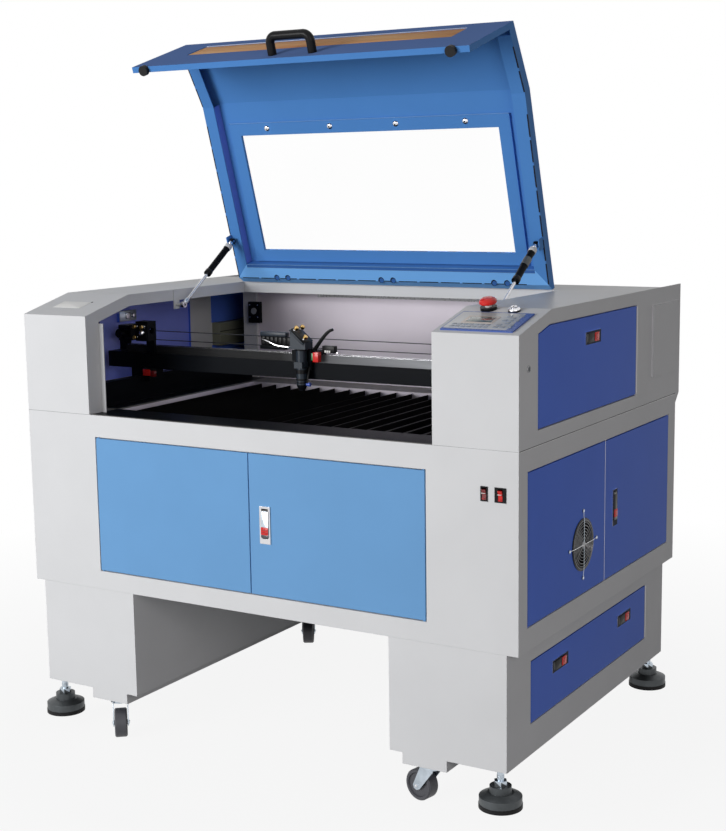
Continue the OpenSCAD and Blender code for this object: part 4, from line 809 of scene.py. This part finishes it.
def rocker_details():
    """Marks of the two rocker switches, and a painted highlight line across each rocker."""
    for name, body in (("power_rocker", "power_switch"), ("lamp_rocker", "lamp_switch")):
        lo, hi = mm_box(name)
        mid = (lo.x + hi.x) / 2
        mark = Form()
        line = lo.z + 0.62 * (hi.z - lo.z)
        # the white line across the rocker, 62 % of the way up, is a painted highlight
        mark.block((lo.x + 0.6, lo.y + 0.4, line), (hi.x - 0.6, lo.y + 3.0, line + 1.2), "white", 0.1)
        mark.block((mid - 3, lo.y - 0.2, lo.z + 3.0), (mid + 3, lo.y + 0.9, lo.z + 4.0), "red", 0.1)
        mark.done(name + "_mark_and_highlight", body, "red_plastic")


# ---------------------------------------------------------------- casters and feet

def caster_details():
    """White rim rings, hub faces and axle nuts."""
    for corner in CORNERS:
        roll, swivel = JOINTS["caster_roll_" + corner], JOINTS["caster_swivel_" + corner]
        axle = Vector(roll["pos_m"]) * 1000
        pin = Vector(swivel["pos_m"]) * 1000
        trail = Vector((axle.x - pin.x, axle.y - pin.y, 0)).normalized()
        face = place(axle, trail, Vector((0, 0, 1)))
        rings, bolts = Form(face), Form(face)
        for flip in (0, 1):
            turn = Matrix.Rotation(math.pi * flip, 4, "Y")
            rings.turned([(26.4, 9.6), (28.6, 9.6), (28.8, 11.6), (27.9, 12.1), (26.6, 11.6)], "white",
                         0, 0, 48, True, at=turn)
            rings.turned([(9.5, 7.4), (26.2, 7.4), (26.2, 9.4), (24, 9.0), (12, 9.4), (9.5, 9.4)], "head",
                         0, 0, 40, True, at=turn)
            bolts.turned([(0, 17.6), (6.6, 17.6), (6.6, 20.4), (5.2, 21.4), (0, 21.4)], "zinc",
                         0, 0, 6, at=turn)
            bolts.turned([(0, 21.2), (3.2, 21.2), (3.2, 23.0), (0, 23.4)], "chrome", 0, 0, 16, at=turn)
        rings.done("wheel_rim_" + corner, "wheel_" + corner, "wheel_rubber")
        bolts.done("axle_nut_" + corner, "caster_" + corner, "zinc_steel")


def foot_details():
    """Thread rings low on the studs of the levelling feet, clear of the legs when screwed right up."""
    for corner in CORNERS:
        lo, hi = mm_box("levelling_foot_" + corner)
        thread = Form(Matrix.Translation(((lo.x + hi.x) / 2, (lo.y + hi.y) / 2, 0)))
        for k in range(3):
            z = 101 + k * 2.6
            thread.turned([(7.6, z), (8.5, z + 0.6), (8.5, z + 1.2), (7.6, z + 1.8)], "zinc",
                          sides=28, closed=True)
        thread.done("stud_thread_" + corner, "foot_" + corner, "zinc_steel")


# ---------------------------------------------------------------- finishes by place

def touch_up():
    """Finishes that differ over one CAD node. Several are painted light or painted shade, noted where they
    are given.
    """
    # the beam's top faces get the graded guide colour, a painted reflection
    touch("gantry_beam", "guide", lambda c, n: c.z > BEAM_TOP + 1)
    # back wall's front face: the brighter grey copy, painted light
    touch("rear_cover", "inside", lambda c, n: abs(c.y - BACK_WALL_Y) < 1.5 and n.y < -0.5)
    # top faces of the cabinet at the seam get the dark grey: painted shade
    touch("lower_cabinet", "deck", lambda c, n: c.z > SEAM_Z - 0.5 and n.z > 0.5)
    # the left door's inner face gets the brighter blue copy: painted light
    touch("left_upper_door", "navy_lit_inside", lambda c, n: n.x > 0.5)
    # inner walls at the top of the cabinet: the brighter grey copy, painted light
    touch("lower_cabinet", "inside", lambda c, n: abs(n.z) < 0.5 and c.z > 796
          and abs(c.x) < 482 and -390 < c.y < 210)
    touch("legs", "void", lambda c, n: n.z < -0.5)
    touch("laser_head", "black", lambda c, n: c.y > -223)
    axis = SLOPE.to_3x3().col[2]
    to_slope = SLOPE.inverted()
    touch("estop_button", "white", lambda c, n: abs(n.dot(axis)) < 0.5
          and math.hypot((to_slope @ c).x - STOP_X, (to_slope @ c).y - STOP_RUN) < 15)
    # the lid's inner face near the hinge gets the brighter blue copy: painted light
    touch("lid_shell", "lid_foot_lit", lambda c, n: n.dot(LID_IN) > 0.5 and (c - LID_ORIGIN).dot(LID_ALONG) < 58)
    # side faces of the side latches' chrome get the near-black copy: painted reflection
    for latch in ("right_upper_latch", "right_rear_latch", "right_leg_latches"):
        touch(latch, "bezel", lambda c, n: n.x > 0.5)
    for corner in CORNERS:
        low = mm_box("levelling_foot_" + corner)[0].z
        touch("levelling_foot_" + corner, "rubber", lambda c, n: c.z < low + 12)
        touch("levelling_foot_" + corner, "zinc", lambda c, n: c.z > low + 58)
    # the flap's faces get the hazy lid blue: painted sheen
    touch("lid_shell", "flap", lambda c, n: n.dot(LID_ALONG) > 0.9 and (c - FLAP_ORIGIN).dot(LID_IN) > 5)


for build in (lid_details, strut_details, console_details, housing_details, head_details, gantry_details,
              bay_details, latch_details, fan_details, rocker_details, caster_details, foot_details,
              touch_up):
    build()


# ---------------------------------------------------------------- stage, light, camera

def build_stage():
    bpy.ops.mesh.primitive_plane_add(size=60, location=(0, 0, 0))
    floor = bpy.context.object
    floor.name = "floor"
    mat, nodes, links, bsdf = new_material("floor_white")
    links.new(ramp(nodes, links, noise(nodes, links, 2.0), (0.30, 0.30, 0.30), (0.33, 0.33, 0.33)),
              bsdf.inputs["Base Color"])
    bsdf.inputs["Roughness"].default_value = 0.9
    floor.data.materials.append(mat)
    coords = nodes.new("ShaderNodeTexCoord")
    length = nodes.new("ShaderNodeVectorMath")
    length.operation = "LENGTH"
    links.new(coords.outputs["Object"], length.inputs[0])
    share = nodes.new("ShaderNodeMapRange")
    share.inputs["From Min"].default_value = 0.9
    share.inputs["From Max"].default_value = 2.6
    share.inputs["To Min"].default_value = FLOOR_GLOW
    links.new(length.outputs["Value"], share.inputs["Value"])
    seen = seen_ray(nodes, links)
    weight = nodes.new("ShaderNodeMath")
    weight.operation = "MULTIPLY"
    links.new(seen, weight.inputs[0])
    links.new(share.outputs["Result"], weight.inputs[1])
    glow = nodes.new("ShaderNodeEmission")
    mix = nodes.new("ShaderNodeMixShader")
    links.new(weight.outputs[0], mix.inputs["Fac"])
    links.new(bsdf.outputs["BSDF"], mix.inputs[1])
    links.new(glow.outputs["Emission"], mix.inputs[2])
    links.new(mix.outputs["Shader"], nodes["Material Output"].inputs["Surface"])


def seen_ray(nodes, links):
    """1 for rays from the camera, from glossy surfaces and through clear ones."""
    path = nodes.new("ShaderNodeLightPath")
    total = path.outputs["Is Camera Ray"]
    for kind in ("Is Glossy Ray", "Is Transmission Ray"):
        more = nodes.new("ShaderNodeMath")
        more.operation = "MAXIMUM"
        links.new(total, more.inputs[0])
        links.new(path.outputs[kind], more.inputs[1])
        total = more.outputs[0]
    return total


def build_world():
    world = bpy.data.worlds.new("studio")
    bpy.context.scene.world = world
    world.use_nodes = True
    nodes, links = world.node_tree.nodes, world.node_tree.links
    strength = nodes.new("ShaderNodeMapRange")
    strength.inputs["To Min"].default_value = AMBIENT
    links.new(seen_ray(nodes, links), strength.inputs["Value"])
    nodes["Background"].inputs["Color"].default_value = (1, 1, 1, 1)
    links.new(strength.outputs["Result"], nodes["Background"].inputs["Strength"])


def area_light(name, spot, target, size, power, color=(1, 1, 1)):
    data = bpy.data.lights.new(name, "AREA")
    data.shape = "RECTANGLE"
    data.size, data.size_y = size
    data.energy = power
    data.color = color
    light = bpy.data.objects.new(name, data)
    bpy.context.scene.collection.objects.link(light)
    light.location = spot
    light.rotation_euler = (Vector(target) - Vector(spot)).to_track_quat("-Z", "Y").to_euler()


def build_camera():
    data = bpy.data.cameras.new("camera")
    data.sensor_width = 36.0
    data.lens = CAMERA_LENS
    camera = bpy.data.objects.new("camera", data)
    bpy.context.scene.collection.objects.link(camera)
    yaw, pitch, roll = (math.radians(a) for a in CAMERA_TURN)
    ahead = Vector((math.sin(yaw) * math.cos(pitch), math.cos(yaw) * math.cos(pitch), -math.sin(pitch)))
    level = Vector((math.cos(yaw), -math.sin(yaw), 0))
    raised = level.cross(ahead)
    side = level * math.cos(roll) + raised * math.sin(roll)
    top = raised * math.cos(roll) - level * math.sin(roll)
    turn = Matrix((side, top, -ahead)).transposed().to_4x4()
    camera.matrix_world = Matrix.Translation(CAMERA_SPOT) @ turn
    bpy.context.scene.camera = camera


AMBIENT = 0.15
FLOOR_GLOW = 0.9
CAMERA_LENS = 64.54
CAMERA_TURN = (-31.05584, 8.95073, -0.84001)
CAMERA_SPOT = (2.0231, -3.3305, 1.4229)
build_stage()
build_world()
area_light("key", (-1.9, -4.8, 1.75), (0, -0.4, 0.8), (2.6, 2.0), 190)
area_light("fill", (4.2, -3.6, 2.1), (0, 0, 0.9), (2.4, 2.0), 44, (1.0, 0.955, 0.955))
area_light("top", (0.3, -0.5, 5.0), (0, 0, 0.8), (3.0, 3.0), 6)
build_camera()
bpy.context.scene.view_settings.view_transform = "Standard"
